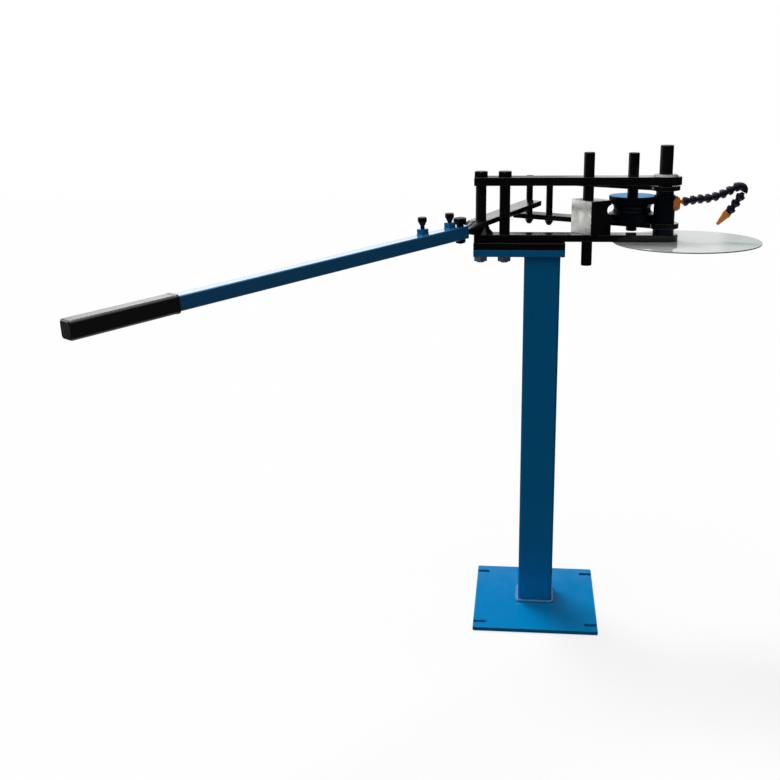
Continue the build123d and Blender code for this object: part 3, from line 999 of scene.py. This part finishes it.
class BENDER_OT_stage(bpy.types.Operator):
    """Floor, light, white surroundings and the camera"""

    bl_idname = "bender.stage"
    bl_label = "Stage"

    WHITE = (1, 1, 1, 1)
    DARK = (0.012, 0.013, 0.014, 1)
    # Upright bands low behind the bender, from left to right
    BANDS = ((0.38, (0.26, 0.26, 0.26)), (0.45, (0.85, 0.86, 0.86)), (0.50, (0.85, 0.86, 0.86)),
             (0.515, (0.45, 0.45, 0.44)), (0.535, (0.60, 0.62, 0.61)), (0.55, (0.80, 0.83, 0.82)),
             (0.60, (0.80, 0.83, 0.82)), (0.615, (0.52, 0.57, 0.57)), (0.75, (0.52, 0.57, 0.57)))
    SENSOR, FOCAL_PIXELS, FRAME_PIXELS = 36.0, 1166.1, 780
    EYE, YAW, PITCH, ROLL = (-0.0395, -2.7376, 1.3408), 0.1179, 0.279, -0.0141

    def execute(self, context):
        self.floor()
        self.surroundings(context)
        self.lamp()
        self.camera(context)
        return {"FINISHED"}

    def floor(self):
        """White to the camera but for a soft shadow, and dull to every other ray."""
        reach, white_share = 9.0, 0.76
        mesh = bpy.data.meshes.new("floor")
        corners = oblong(-reach, -reach, reach, reach)
        mesh.from_pydata([(x, y, 0) for x, y in corners], [], [(0, 1, 2, 3)])
        made = bpy.data.materials.new("studio_floor")
        made.use_nodes = True
        tree = made.node_tree
        tree.nodes.clear()
        seen = add(tree, "ShaderNodeLightPath").outputs["Is Camera Ray"]
        lit = add(tree, "ShaderNodeBsdfDiffuse", {"Color": (0.98, 0.98, 0.98, 1)}).outputs[0]
        white = add(tree, "ShaderNodeEmission", {"Color": self.WHITE, "Strength": 1.0}).outputs[0]
        pale = add(tree, "ShaderNodeMixShader", {0: white_share, 1: lit, 2: white}).outputs[0]
        dull = add(tree, "ShaderNodeBsdfDiffuse", {"Color": (0.06, 0.06, 0.06, 1)}).outputs[0]
        mix = add(tree, "ShaderNodeMixShader", {0: seen, 1: dull, 2: pale}).outputs[0]
        add(tree, "ShaderNodeOutputMaterial", {"Surface": mix})
        mesh.materials.append(made)
        obj = loose("studio_floor", mesh)
        obj.location.z = -0.0006
        obj.visible_glossy = False

    def surroundings(self, context):
        """White to the camera; reflections see a studio, and soft light comes from above and the left."""
        world = bpy.data.worlds.new("white_studio")
        context.scene.world = world
        world.use_nodes = True
        tree = world.node_tree
        tree.nodes.clear()
        path = add(tree, "ShaderNodeLightPath").outputs
        way = add(tree, "ShaderNodeTexCoord").outputs["Generated"]
        x, y, z = add(tree, "ShaderNodeSeparateXYZ", {0: way}).outputs
        shown = math_of(tree, "MAXIMUM", path["Is Glossy Ray"], path["Is Transmission Ray"])
        dim = blend(tree, shown, self.soft_light(tree, x, z), self.mirrored(tree, way, x, y, z))
        tone = blend(tree, path["Is Camera Ray"], dim, self.WHITE)
        sky = add(tree, "ShaderNodeBackground", {"Color": tone, "Strength": 1.0})
        add(tree, "ShaderNodeOutputWorld", {"Surface": sky.outputs[0]})

    def soft_light(self, tree, x, z):
        slope = math_of(tree, "MULTIPLY_ADD", x, -0.27, 0.14, clamp=True)
        return grey(tree, math_of(tree, "ADD", slope, remap(tree, z, 0.55, 0.85, 0.0, 0.70)))

    def mirrored(self, tree, way, x, y, z):
        """What glossy faces reflect: bands, a white wall, dark sides, a white panel and the lamp."""
        side = math_of(tree, "DIVIDE", x, math_of(tree, "MAXIMUM", y, 0.01))
        bands = add(tree, "ShaderNodeValToRGB", {0: remap(tree, side, -0.2, 0.4)})
        stops = bands.color_ramp.elements
        for i, (spot, tone) in enumerate(self.BANDS):
            stop = stops[i] if i < len(stops) else stops.new(spot)
            stop.position, stop.color = spot, (*tone, 1)
        wall, ceiling = remap(tree, z, 0.15, 0.24), remap(tree, z, 0.385, 0.415)
        left, right = remap(tree, x, -0.35, -0.55), remap(tree, x, 0.35, 0.60)
        panel = math_of(tree, "MULTIPLY", remap(tree, x, -0.62, -0.80), remap(tree, z, -0.21, -0.15))
        back = bands.outputs[0]
        for mask, tone in ((wall, (1.5, 1.5, 1.5, 1)), (ceiling, self.DARK), (left, (0.03, 0.031, 0.033, 1)),
                           (panel, (1.2, 1.2, 1.18, 1)), (right, self.DARK)):
            back = blend(tree, mask, back, tone)
        front = blend(tree, remap(tree, z, 0.28, 0.55), (0.020, 0.021, 0.022, 1), (0.2, 0.2, 0.2, 1))
        out = blend(tree, remap(tree, y, 0.0, 0.25), front, back)
        toward = add(tree, "ShaderNodeVectorMath", {0: way, 1: -SUN_WAY}, operation="DOT_PRODUCT")
        for mask, tone in ((remap(tree, z, 0.60, 0.80), (0.5, 0.5, 0.5, 1)),
                           (remap(tree, z, -0.50, -0.62), (0.25, 0.25, 0.25, 1)),
                           (remap(tree, toward.outputs["Value"], 0.955, 0.985), (4, 4, 4, 1))):
            out = blend(tree, mask, out, tone)
        return out

    def lamp(self):
        data = bpy.data.lights.new("overhead", "SUN")
        data.energy = 1.75
        data.angle = math.radians(22)
        obj = loose("overhead", data)
        obj.rotation_mode = "QUATERNION"
        obj.rotation_quaternion = SUN_WAY.to_track_quat("-Z", "Y")
        obj.visible_glossy = False

    def camera(self, context):
        data = bpy.data.cameras.new("camera")
        data.sensor_width = self.SENSOR
        data.lens = self.FOCAL_PIXELS / self.FRAME_PIXELS * self.SENSOR
        data.clip_start, data.clip_end = 0.05, 60.0
        obj = loose("camera", data)
        yaw, pitch, roll = self.YAW, self.PITCH, self.ROLL
        right = Vector((math.cos(yaw), math.sin(yaw), 0))
        ahead = Vector((-math.sin(yaw) * math.cos(pitch), math.cos(yaw) * math.cos(pitch), -math.sin(pitch)))
        up = right.cross(ahead)
        x = right * math.cos(roll) + up * math.sin(roll)
        y = up * math.cos(roll) - right * math.sin(roll)
        obj.matrix_world = Matrix.Translation(self.EYE) @ Matrix((x, y, -ahead)).transposed().to_4x4()
        context.scene.camera = obj
        context.scene.view_settings.view_transform = "Standard"


class BENDER_OT_foot(bpy.types.Operator):
    """Slotted foot plate, square column and the weld round its foot"""

    bl_idname = "bender.foot"
    bl_label = "Foot and column"

    def execute(self, context):
        s = sizes()
        corner, wall, weld_out, weld_size, weld_seed = 0.004, 0.004, 0.0012, 0.0056, 11
        lo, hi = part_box("base_plate")
        w, d, r = hi.x, hi.y, s.slot_width / 2
        inner = w - s.slot_depth + r
        outline = arc(w - corner, -d + corner, corner, -QUARTER, 0, 4)
        for y in (-s.slot_y, s.slot_y):
            outline += [(w, y - r), *arc(inner, y, r, -QUARTER, -3 * QUARTER, 12), (w, y + r)]
        outline += arc(w - corner, d - corner, corner, 0, QUARTER, 4)
        outline += [(-x, -y) for x, y in outline]
        plate = mesh_of(slab([outline], lo.z, hi.z, s.plate_ease))
        dress("foot_plate", plate, "stand", "blue_paint", "base_plate")

        lo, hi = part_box("column_tube")
        half = (hi.x - lo.x) / 2
        bore = list(reversed(square(half - wall, 0.002)))
        tube = slab([square(half, 0.006, 6), bore], lo.z, hi.z, s.tube_ease)
        dress("square_column", mesh_of(moved(tube, 0, HEAD_Y)), "stand", "blue_paint", "column_tube")

        height = top_of("base_plate") + weld_out
        points = [(x, y + HEAD_Y, height) for x, y in square(half + weld_out, 0.007, 8)]
        bead = weld_along(points, weld_size, s.weld_pitch, weld_seed)
        dress("foot_weld_bead", bead, "stand", "weld", "foot_weld", sharp=60)
        return {"FINISHED"}


class BENDER_OT_head(bpy.types.Operator):
    """Top plate, head base plate, the two long frame plates and the pivot pad"""

    bl_idname = "bender.head"
    bl_label = "Head plates"

    def execute(self, context):
        ease, corner = sizes().plate_ease, 0.002
        for node, name, slot in (("top_plate", "blue_top_plate", "blue_paint"),
                                 ("head_base_plate", "black_bed_plate", "black_paint")):
            lo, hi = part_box(node)
            outline = rounded(oblong(lo.x, lo.y, hi.x, hi.y), corner)
            dress(name, mesh_of(slab([outline], lo.z, hi.z, ease)), "stand", slot, node)
        pin = centre_of("follower_pin")
        hole = circle(pin.x, pin.y, bore_for("follower_pin"))
        for node, name in (("lower_frame_plate", "lower_long_plate"),
                           ("upper_frame_plate", "upper_long_plate")):
            lo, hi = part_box(node)
            half = (hi.y - lo.y) / 2
            nose = arc(hi.x - half, HEAD_Y, half, -QUARTER, QUARTER, 40)
            outline = rounded([(lo.x, hi.y), (lo.x, lo.y)] + nose, [corner, corner] + [0] * len(nose))
            dress(name, mesh_of(slab([outline, hole], lo.z, hi.z, ease)), "stand", "black_paint", node)

        bore, r, rise, slope = bore_for("centre_pin"), 0.030, 0.005, 0.004
        base = top_of("upper_frame_plate")
        edge = [(bore, base), (r, base), (r - slope, base + rise), (bore, base + rise)]
        pad = turned(rounded(edge, [0.0004, 0.0004, 0.0012, 0.0006], 3), 72, closed=True)
        dress("round_pivot_pad", mesh_of(moved(pad, PIVOT.x, PIVOT.y)), "stand", "zinc")
        return {"FINISHED"}


class BENDER_OT_posts(bpy.types.Operator):
    """Head posts with their bolts, nuts and washers"""

    bl_idname = "bender.posts"
    bl_label = "Posts and bolts"

    def execute(self, context):
        across, face, overlap = sizes().post_hex, 0.0006, 0.0001
        thread_r, pitch, thread_end = 0.009, 0.0025, 0.012
        lo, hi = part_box("post_spacers")
        r = (hi.y - lo.y) / 2
        spots = [(lo.x + r, HEAD_Y, 0), (hi.x - r, HEAD_Y, 0)]
        sleeve = mesh_of(shaft(r, lo.z, hi.z, 0.0006, 0.0006))
        crown = top_of("upper_frame_plate")
        lo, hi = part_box("post_bolts")
        bolt = mesh_of(shaft(across * 0.48, crown, crown + face, overlap, overlap),
                       hexed(across, crown + face - overlap, hi.z, low=False),
                       threaded(thread_r, pitch, lo.z, lo.z + thread_end))
        lo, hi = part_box("post_nuts")
        nut = mesh_of(hexed(across, lo.z, hi.z, bore=thread_r + 0.0002))
        lo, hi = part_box("post_washers")
        washer = mesh_of(ring(thread_r + 0.0004, (hi.y - lo.y) / 2, lo.z, hi.z, 0.0005))
        for name, mesh, slot, node in (("post_sleeves", sleeve, "black_steel", "post_spacers"),
                                       ("post_bolt_heads", bolt, "black_steel", "post_bolts"),
                                       ("post_hex_nuts", nut, "zinc", "post_nuts"),
                                       ("post_flat_washers", washer, "zinc", "post_washers")):
            dress(name, on_points(spots, mesh, slot), "stand", slot, node)
        return {"FINISHED"}


class BENDER_OT_pins(bpy.types.Operator):
    """Centre pin with its ring, die pin and follower pin"""

    bl_idname = "bender.pins"
    bl_label = "Pins"

    def execute(self, context):
        for node, name, body in (("centre_pin", "centre_pivot_pin", "stand"),
                                 ("die_pin", "die_lift_pin", "die_pin"),
                                 ("follower_pin", "follower_lift_pin", "follower_pin")):
            lo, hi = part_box(node)
            middle = (lo + hi) / 2
            bar = shaft((hi.x - lo.x) / 2, lo.z, hi.z, 0.001, 0.0014)
            dress(name, mesh_of(moved(bar, middle.x, middle.y)), body, "black_steel", node)
        lo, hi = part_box("swing_ring")
        collar = ring(bore_for("centre_pin"), (hi.x - lo.x) / 2, lo.z, hi.z, 0.0008)
        mesh = mesh_of(moved(collar, PIVOT.x, PIVOT.y))
        dress("swing_thrust_ring", mesh, "stand", "die_steel", "swing_ring")
        return {"FINISHED"}


class BENDER_OT_swing(bpy.types.Operator):
    """Swing frame: two bars, their posts, bolts and domed nuts"""

    bl_idname = "bender.swing"
    bl_label = "Swing frame"

    POSTS_AT = (0.2996, 0.3556)

    def execute(self, context):
        place = swing_frame()
        half, boss, reach, mid, corner = 0.025, 0.034, 0.391, 0.1, 0.008
        pin = place.inverted() @ centre_of("die_pin")
        open_at = math.pi - math.asin(half / boss)
        end = rounded([(-reach, half), (-reach, -half), (-mid, -half), (-mid, half)], [corner, corner, 0, 0])
        outline = end[:-1] + arc(0, 0, boss, -open_at, open_at, 40) + end[-1:]
        holes = [circle(0, 0, bore_for("centre_pin")), circle(pin.x, pin.y, bore_for("die_pin"))]
        for node, name in (("swing_lower_plate", "swing_lower_bar"),
                           ("swing_upper_plate", "swing_upper_bar")):
            lo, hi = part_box(node)
            bar = slab([outline, *holes], lo.z, hi.z, sizes().plate_ease)
            dress(name, mesh_of(moved(bar, matrix=place)), "swing", "black_paint", node)

        spots = [place @ Vector((-x, 0, 0)) for x in self.POSTS_AT]
        across = sizes().swing_hex
        turn = Matrix.Rotation(-math.radians(30), 4, "Z")
        lo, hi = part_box("swing_spacers")
        post = mesh_of(shaft(0.008, lo.z, hi.z, 0.0005, 0.0005, 40))
        head = hexed(across, top_of("swing_upper_plate"), top_of("swing_bolts"), low=False)
        top = top_of("swing_nuts")
        flat, dome = top - 0.008, across / 2 - 0.0005
        brim = flat + 0.0006
        bow = (QUARTER * i / 10 for i in range(11))
        cap = [(dome * math.sin(a), brim - dome * math.cos(a)) for a in bow] + [(0, brim)]
        nut = mesh_of(moved(hexed(across, flat, top, high=False), matrix=turn), turned(cap, 48))
        for name, mesh, slot, node in (
                ("swing_post_sleeves", post, "black_steel", "swing_spacers"),
                ("swing_bolt_heads", mesh_of(moved(head, matrix=turn)), "black_steel", "swing_bolts"),
                ("swing_dome_nuts", nut, "zinc", "swing_nuts")):
            # All of them look as dark as the bolts, the plated nuts too
            dress(name, on_points(spots, mesh, "black_steel"), "swing", slot, node)
        return {"FINISHED"}


class BENDER_OT_die(bpy.types.Operator):
    """Grooved roller die"""

    bl_idname = "bender.die"
    bl_label = "Roller die"

    def execute(self, context):
        lo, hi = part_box("roller_die")
        r, middle = (hi.x - lo.x) / 2, (lo + hi) / 2
        groove, lip = sizes().groove, 0.0008
        edge = rounded(oblong(bore_for("die_pin"), lo.z, r, hi.z), [0.0008, 0.0012, 0.0012, 0.0008], 3)
        half = len(edge) // 2
        top = math.asin((groove - lip) / groove)
        bow = (-top + 2 * top * i / 24 for i in range(25))
        cut = [(r - groove * math.cos(a), middle.z + groove * math.sin(a)) for a in bow]
        cut = [(r, middle.z - groove - lip)] + cut + [(r, middle.z + groove + lip)]
        wheel = turned(edge[:half] + cut + edge[half:], 128, closed=True)
        mesh = mesh_of(moved(wheel, middle.x, middle.y))
        # Flat top and bottom faces get the painted-sheen finish, brighter than the blued rim
        for face in mesh.polygons:
            face.material_index = 1 if abs(face.normal.z) > 0.95 else 0
        dress("grooved_die", mesh, "die", "die_steel", "roller_die",
              finishes=[finish_for("die_steel"), made_by(finish_face_painted_sheen)])
        return {"FINISHED"}


class BENDER_OT_follower(bpy.types.Operator):
    """Follower block with its pipe groove"""

    bl_idname = "bender.follower"
    bl_label = "Follower block"

    def execute(self, context):
        lo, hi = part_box("follower_block")
        pin = centre_of("follower_pin")
        left, right, front, back = -0.016, 0.042, -0.034, 0.042
        height, over = hi.z - lo.z, 0.01
        middle = centre_of("roller_die").z - lo.z
        outline = rounded(oblong(left, 0, right, height), 0.0008, 2)
        half = len(outline) // 2
        hollow = arc(right, middle, sizes().groove, -QUARTER, -3 * QUARTER, 24)
        body = slab([outline[:half] + hollow + outline[half:]], front, back, 0.0012)
        stand_up = Matrix(((1, 0, 0, 0), (0, 0, 1, 0), (0, 1, 0, 0), (0, 0, 0, 1)))
        body.transform(stand_up)
        bmesh.ops.recalc_face_normals(body, faces=body.faces)
        mesh = cut_away(mesh_of(body), borer(bore_for("follower_pin"), -over, height + over))
        # Faces turned left or up get bare steel; the others get dull black, painted shade on the block's
        # shaded sides
        for face in mesh.polygons:
            bright = face.normal.x < -0.6 or face.normal.z > 0.6
            face.material_index = 0 if bright else 1
        turn = Matrix.Rotation(sizes().block_turn, 4, "Z")
        mesh.transform(Matrix.Translation((pin.x, pin.y, lo.z)) @ turn)
        dress("follower_shoe", mesh, "follower", "silver_steel", "follower_block",
              finishes=[finish_for("silver_steel"), made_by(finish_end_painted_shade)])
        return {"FINISHED"}


class BENDER_OT_lever(bpy.types.Operator):
    """Flat lever bar and the flared boss under it"""

    bl_idname = "bender.lever"
    bl_label = "Lever bar"

    def execute(self, context):
        s = sizes()
        level = lever_frame(0.0, 0.0)
        thick, half, tang, corner = 0.012, 0.025, 0.012, 0.002
        tail, crank, mouth, tip = -0.195, 0.020, 0.054, 0.200
        lift, drop_to = 0.021, TUBE_LIFT - thick / 2
        post, well_low, well_high = size_of("post_spacers").y / 2 + FREE, 0.90, 1.02

        def under(x):
            """Height of the bar's underside, cranked down into the tube."""
            if x <= crank:
                return lift - x * math.tan(s.bar_tilt)
            if x >= mouth:
                return drop_to - x * math.tan(s.tube_tilt)
            share = (x - crank) / (mouth - crank)
            return under(crank) * (1 - share) + under(mouth) * share

        near = [(tail, -half), (crank, -half), (mouth, -tang), (tip, -tang)]
        far = [(x, -y) for x, y in reversed(near)]
        outline = rounded(near + far, [corner, 0, 0, corner, corner, 0, 0, corner])
        bar = slab([outline], 0.0, thick, s.plate_ease)
        for x in (crank, mouth):
            geom = bar.verts[:] + bar.edges[:] + bar.faces[:]
            bmesh.ops.bisect_plane(bar, geom=geom, plane_co=(x, 0, 0), plane_no=(1, 0, 0))
        for vert in bar.verts:
            vert.co.z += under(vert.co.x)
        moved(bar, matrix=level)
        well = moved(borer(post, well_low, well_high), LEVER_POST.x, LEVER_POST.y)
        dress("lever_flat_bar", cut_away(mesh_of(bar), well), "lever", "black_paint", "lever_bar",
              finishes=[made_by(finish_gloss)])

        foot, brow, dish, steps = size_of("lever_boss").x / 2, 0.018, 0.0026, 64
        slope, tilt = (foot - brow) / lift, math.tan(s.bar_tilt)
        rings = [[], [], [], [], []]
        for i in range(steps):
            a = TURN * i / steps
            lean = math.cos(a) * tilt
            z = (lift - foot * lean) / (1 - slope * lean)
            r = foot - slope * z
            waist = foot * 0.44 + r * 0.56 - dish
            levels = ((foot, 0), (waist, z * 0.5), (r, z), (post, lift - post * lean), (post, 0))
            for row, (reach, height) in zip(rings, levels):
                row.append((reach * math.cos(a), reach * math.sin(a), height))
        boss = moved(loft(rings, closed=True), matrix=level)
        dress("lever_flared_boss", mesh_of(boss), "lever", "black_paint", "lever_boss")
        return {"FINISHED"}


class BENDER_OT_handle(bpy.types.Operator):
    """Square handle tube, grip, weld nuts, set screws and clamp bolt"""

    bl_idname = "bender.handle"
    bl_label = "Handle"

    TOP = 0.015  # half the tube's width
    NUTS_AT, NUT_HALF, NUT_H = (0.106, 0.195), 0.0095, 0.014
    CLAMP_AT, THREAD_R, PITCH = 0.0715, 0.005, 0.0015

    def execute(self, context):
        place = lever_frame(sizes().tube_tilt, TUBE_LIFT)
        self.tube(place)
        self.grip(place)
        self.nuts(place)
        self.screws(place)
        self.clamp(place)
        return {"FINISHED"}

    def tube(self, place):
        x0, x1, wall = 0.0585, 1.086, 0.0025
        lay = Matrix(((0, 0, 1, 0), (1, 0, 0, 0), (0, 1, 0, 0), (0, 0, 0, 1)))
        bore = list(reversed(square(self.TOP - wall, 0.0008)))
        tube = slab([square(self.TOP, 0.003, 5), bore], x0, x1, sizes().tube_ease)
        mesh = mesh_of(moved(tube, matrix=place @ lay))
        dress("handle_square_tube", mesh, "lever", "blue_paint", "handle_tube",
              finishes=[made_by(finish_handle)])

    def grip(self, place):
        """A sleeve with a raised brim at its mouth and a softened closed end."""
        x0, x1, r, mouth = 0.862, 1.092, 0.0185, 0.0158
        rows = ((x0, mouth, 0.003), (x0, r - 0.0022, 0.0045), (x0 + 0.0006, r - 0.0008, 0.0055),
                (x0 + 0.0020, r, 0.006), (x0 + 0.0075, r, 0.006), (x0 + 0.0090, r - 0.0006, 0.006),
                (x0 + 0.0120, r - 0.0007, 0.006), (x1 - 0.012, r - 0.0002, 0.006),
                (x1 - 0.003, r - 0.0002, 0.006), (x1 - 0.0016, r - 0.0006, 0.006),
                (x1 - 0.0005, r - 0.0018, 0.0055), (x1, r - 0.0035, 0.005))
        sleeve = loft([[(x, *p) for p in square(half, corner, 6)] for x, half, corner in rows])
        mesh = mesh_of(moved(sleeve, matrix=place))
        dress("handle_grip_sleeve", mesh, "lever", "grip_rubber", "handle_grip", sharp=50)

    def nuts(self, place):
        bead_size, bead_pitch, first_seed = 0.0019, 0.0014, 21
        block = slab([square(self.NUT_HALF, 0.0012, 3), circle(0, 0, 0.0052, 40)], self.TOP,
                     self.TOP + self.NUT_H, 0.0006)
        nuts = on_points([(x, 0, 0) for x in self.NUTS_AT], mesh_of(block), "blue_paint")
        nuts.transform(place)
        dress("tube_weld_nuts", nuts, "lever", "blue_paint", "weld_nuts")
        for i, x in enumerate(self.NUTS_AT):
            foot = [Vector((x + p[0], p[1], self.TOP + 0.0002)) for p in square(self.NUT_HALF, 0.0015, 3)]
            bead = weld_along([place @ p for p in foot], bead_size, bead_pitch, first_seed + i)
            dress(f"weld_nut_bead_{i + 1}", bead, "lever", "blue_paint", sharp=60)

    def screws(self, place):
        screws = []
        for x, rise in zip(self.NUTS_AT, (0.007, 0.012)):
            neck = self.TOP + self.NUT_H + rise
            head = ((0, -0.004), (0.0062, -0.004), (0.0072, -0.001), (0.0096, 0.0035), (0.0106, 0.0045),
                    (0.0106, 0.0125), (0.0096, 0.0140), (0, 0.0140))
            screws += [moved(turned([(r, neck + z) for r, z in head], 6), x),
                       moved(threaded(self.THREAD_R, self.PITCH, self.TOP + 0.002, neck - 0.003), x)]
        mesh = mesh_of(*screws)
        mesh.transform(place)
        dress("tube_set_screws", mesh, "lever", "black_steel", "set_screws")

    def clamp(self, place):
        top, rise, below = self.TOP, self.TOP + 0.011, -self.TOP
        bolt = (hexed(0.027, rise - 0.006, rise + 0.008, low=False),
                shaft(0.0085, top, rise - 0.004, 0.0006, 0.0001, 40),
                threaded(self.THREAD_R, self.PITCH, below - 0.011, rise + 0.001))
        nut = (hexed(0.021, below - 0.009, below, bore=self.THREAD_R + 0.0001),)
        for name, parts, node in (("tube_clamp_bolt", bolt, "clamp_bolt"),
                                  ("tube_clamp_nut", nut, "clamp_nut")):
            mesh = mesh_of(*(moved(part, self.CLAMP_AT) for part in parts))
            mesh.transform(place)
            dress(name, mesh, "lever", "black_steel", node)


class BENDER_OT_dial(bpy.types.Operator):
    """Polished dial disc"""

    bl_idname = "bender.dial"
    bl_label = "Dial disc"

    def execute(self, context):
        lo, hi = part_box("dial_disc")
        r, middle, hub, ease = (hi.x - lo.x) / 2, (lo + hi) / 2, 0.02, 0.0007
        edge = rounded(oblong(hub, lo.z, r, hi.z), [0, ease, ease, 0], 3)
        plate = turned([(0, lo.z), *edge, (0, hi.z)], 192)
        mesh = mesh_of(moved(plate, middle.x, middle.y))
        dress("mirror_dial_disc", mesh, "stand", "mirror_disc", "dial_disc")
        return {"FINISHED"}


class BENDER_OT_sleeve(bpy.types.Operator):
    """Centre sleeve, its collar and the orange hose fitting"""

    bl_idname = "bender.sleeve"
    bl_label = "Sleeve and fitting"

    def execute(self, context):
        for node, name, slot in (("centre_sleeve", "pivot_sleeve", "die_steel"),
                                 ("sleeve_collar", "pivot_collar", "black_steel")):
            lo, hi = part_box(node)
            body = ring(bore_for("centre_pin"), (hi.y - lo.y) / 2, lo.z, hi.z, 0.0010, 96)
            dress(name, mesh_of(moved(body, PIVOT.x, PIVOT.y)), "sleeve", slot, node)

        stem, root, over = 0.010, 0.0185, 0.04
        r, z = size_of("pointer_fitting").y / 2, SWIVEL.z
        face = SWIVEL.x - stem - PIVOT.x
        profile = [(0, root), (r, root), (r, face - 0.0050), (r - 0.0008, face - 0.0042),
                   (r - 0.0024, face - 0.0042), (r - 0.0028, face - 0.0036), (r - 0.0028, face - 0.0008),
                   (r - 0.0036, face), (0, face)]
        across = Matrix.Rotation(QUARTER, 4, "Y")
        body = moved(turned(profile, 72), matrix=Matrix.Translation((PIVOT.x, PIVOT.y, z)) @ across)
        well = borer(size_of("centre_sleeve").y / 2 - RUN, z - over, z + over, 96)
        disc = cut_away(mesh_of(body), moved(well, PIVOT.x, PIVOT.y))
        ball = moved(ball_stem(stem, 40), matrix=Matrix.Translation(hose_start()) @ across)
        dress("orange_hose_fitting", mesh_of(disc, ball), "sleeve", "orange_plastic", "pointer_fitting")
        return {"FINISHED"}


class BENDER_OT_pointer(bpy.types.Operator):
    """Ball-link hose, its bend and the orange nozzle"""

    bl_idname = "bender.pointer"
    bl_label = "Pointer hose"

    # Headings in degrees: the rising links, then the bend's start, the falling links and the nozzle
    RISE = (11, 9, 4, 13, 20, 25, 30)
    LEAD, FALL, DIVE = 18, -123, -130

    def links(self, points):
        """A link on every length of the path."""
        pitch = sizes().link_pitch
        link = turned(link_socket(NECK) + link_ball(pitch, NECK), 32)
        return along_path(points, mesh_of(moved(link, 0, 0, -pitch / 2)), "navy_plastic")

    def execute(self, context):
        pitch = sizes().link_pitch
        spots = [hose_start()]
        for degrees in self.RISE:
            spots.append(spots[-1] + heading(degrees) * pitch)
        dress("hose_links_rising", self.links(spots), "hose_arm", "navy_plastic", "hose_links_up")
        self.bend(spots[-1])
        spots = [BEND + heading(self.FALL) * (pitch * i) for i in range(3)]
        dress("hose_links_falling", self.links(spots), "hose_tip", "navy_plastic", "hose_links_down")
        self.nozzle(facing(spots[-1], self.DIVE))
        return {"FINISHED"}

    def bend(self, first):
        """A socket, a round elbow and a ball."""
        turn_r, thick = 0.009, 0.0084
        hub = first + heading(self.LEAD) * 0.008 + heading(self.LEAD - 90) * turn_r
        course = [first + heading(self.LEAD) * 0.0078]
        for i in range(25):
            course.append(hub + heading(self.LEAD + 90 + (self.FALL - self.LEAD) * i / 24) * turn_r)
        cup = turned(link_socket(thick + 0.0007) + [(0, 0.0104)], 40)
        whole = mesh_of(moved(cup, matrix=facing(first, self.LEAD)),
                        moved(ball_stem(0.009, 32), matrix=facing(BEND, self.FALL)),
                        round_skin(course, thick))
        dress("hose_bend", whole, "hose_arm", "navy_plastic", "hose_elbow")

    def nozzle(self, lay):
        z0, z1, z2, throat = 0.013, 0.021, 0.048, 0.006
        joiner = link_socket(0.0085)[:-2] + [(0.0087, 0.0074), (0.0085, 0.0084), (0.0085, z0), (0, z0)]
        spout = [(0, z0), (0.0090, z0), (0.0096, z0 + 0.0006), (0.0096, z1 - 0.0008), (0.0090, z1),
                 (0.0084, z1 + 0.0004), (0.0034, z2 - 0.0006), (0.0030, z2), (0.0020, z2),
                 (0.0018, z2 - throat), (0, z2 - throat)]
        for name, profile, slot, node in (
                ("hose_connector", joiner, "dark_plastic", "pointer_connector"),
                ("orange_pointer_nozzle", spout, "orange_plastic", "pointer_nozzle")):
            dress(name, mesh_of(moved(turned(profile, 40), matrix=lay)), "hose_tip", slot, node)


class BENDER_PT_panel(bpy.types.Panel):
    """Sizes, colours and steps of the bender"""

    bl_idname = "BENDER_PT_panel"
    bl_label = "Pipe roller bender"
    bl_space_type = "VIEW_3D"
    bl_region_type = "UI"
    bl_category = "Bender"

    def draw(self, context):
        layout = self.layout
        for settings in (context.scene.bender_sizes, context.scene.bender_finish):
            box = layout.box()
            for key in settings.__annotations__:
                box.prop(settings, key)
        for step in STEPS:
            layout.operator(step.bl_idname)


STEPS = (
    BENDER_OT_stage,
    BENDER_OT_foot,
    BENDER_OT_head,
    BENDER_OT_posts,
    BENDER_OT_pins,
    BENDER_OT_swing,
    BENDER_OT_die,
    BENDER_OT_follower,
    BENDER_OT_lever,
    BENDER_OT_handle,
    BENDER_OT_dial,
    BENDER_OT_sleeve,
    BENDER_OT_pointer,
)
CLASSES = (BenderSizes, BenderFinish, *STEPS, BENDER_PT_panel)


def register():
    for cls in CLASSES:
        bpy.utils.register_class(cls)
    bpy.types.Scene.bender_sizes = bpy.props.PointerProperty(type=BenderSizes)
    bpy.types.Scene.bender_finish = bpy.props.PointerProperty(type=BenderFinish)


def unregister():
    del bpy.types.Scene.bender_finish
    del bpy.types.Scene.bender_sizes
    for cls in reversed(CLASSES):
        bpy.utils.unregister_class(cls)


def main():
    register()
    bpy.ops.bender.stage()
    bpy.ops.bender.foot()
    bpy.ops.bender.head()
    bpy.ops.bender.posts()
    bpy.ops.bender.pins()
    bpy.ops.bender.swing()
    bpy.ops.bender.die()
    bpy.ops.bender.follower()
    bpy.ops.bender.lever()
    bpy.ops.bender.handle()
    bpy.ops.bender.dial()
    bpy.ops.bender.sleeve()
    bpy.ops.bender.pointer()


if __name__ == "__main__":
    main()
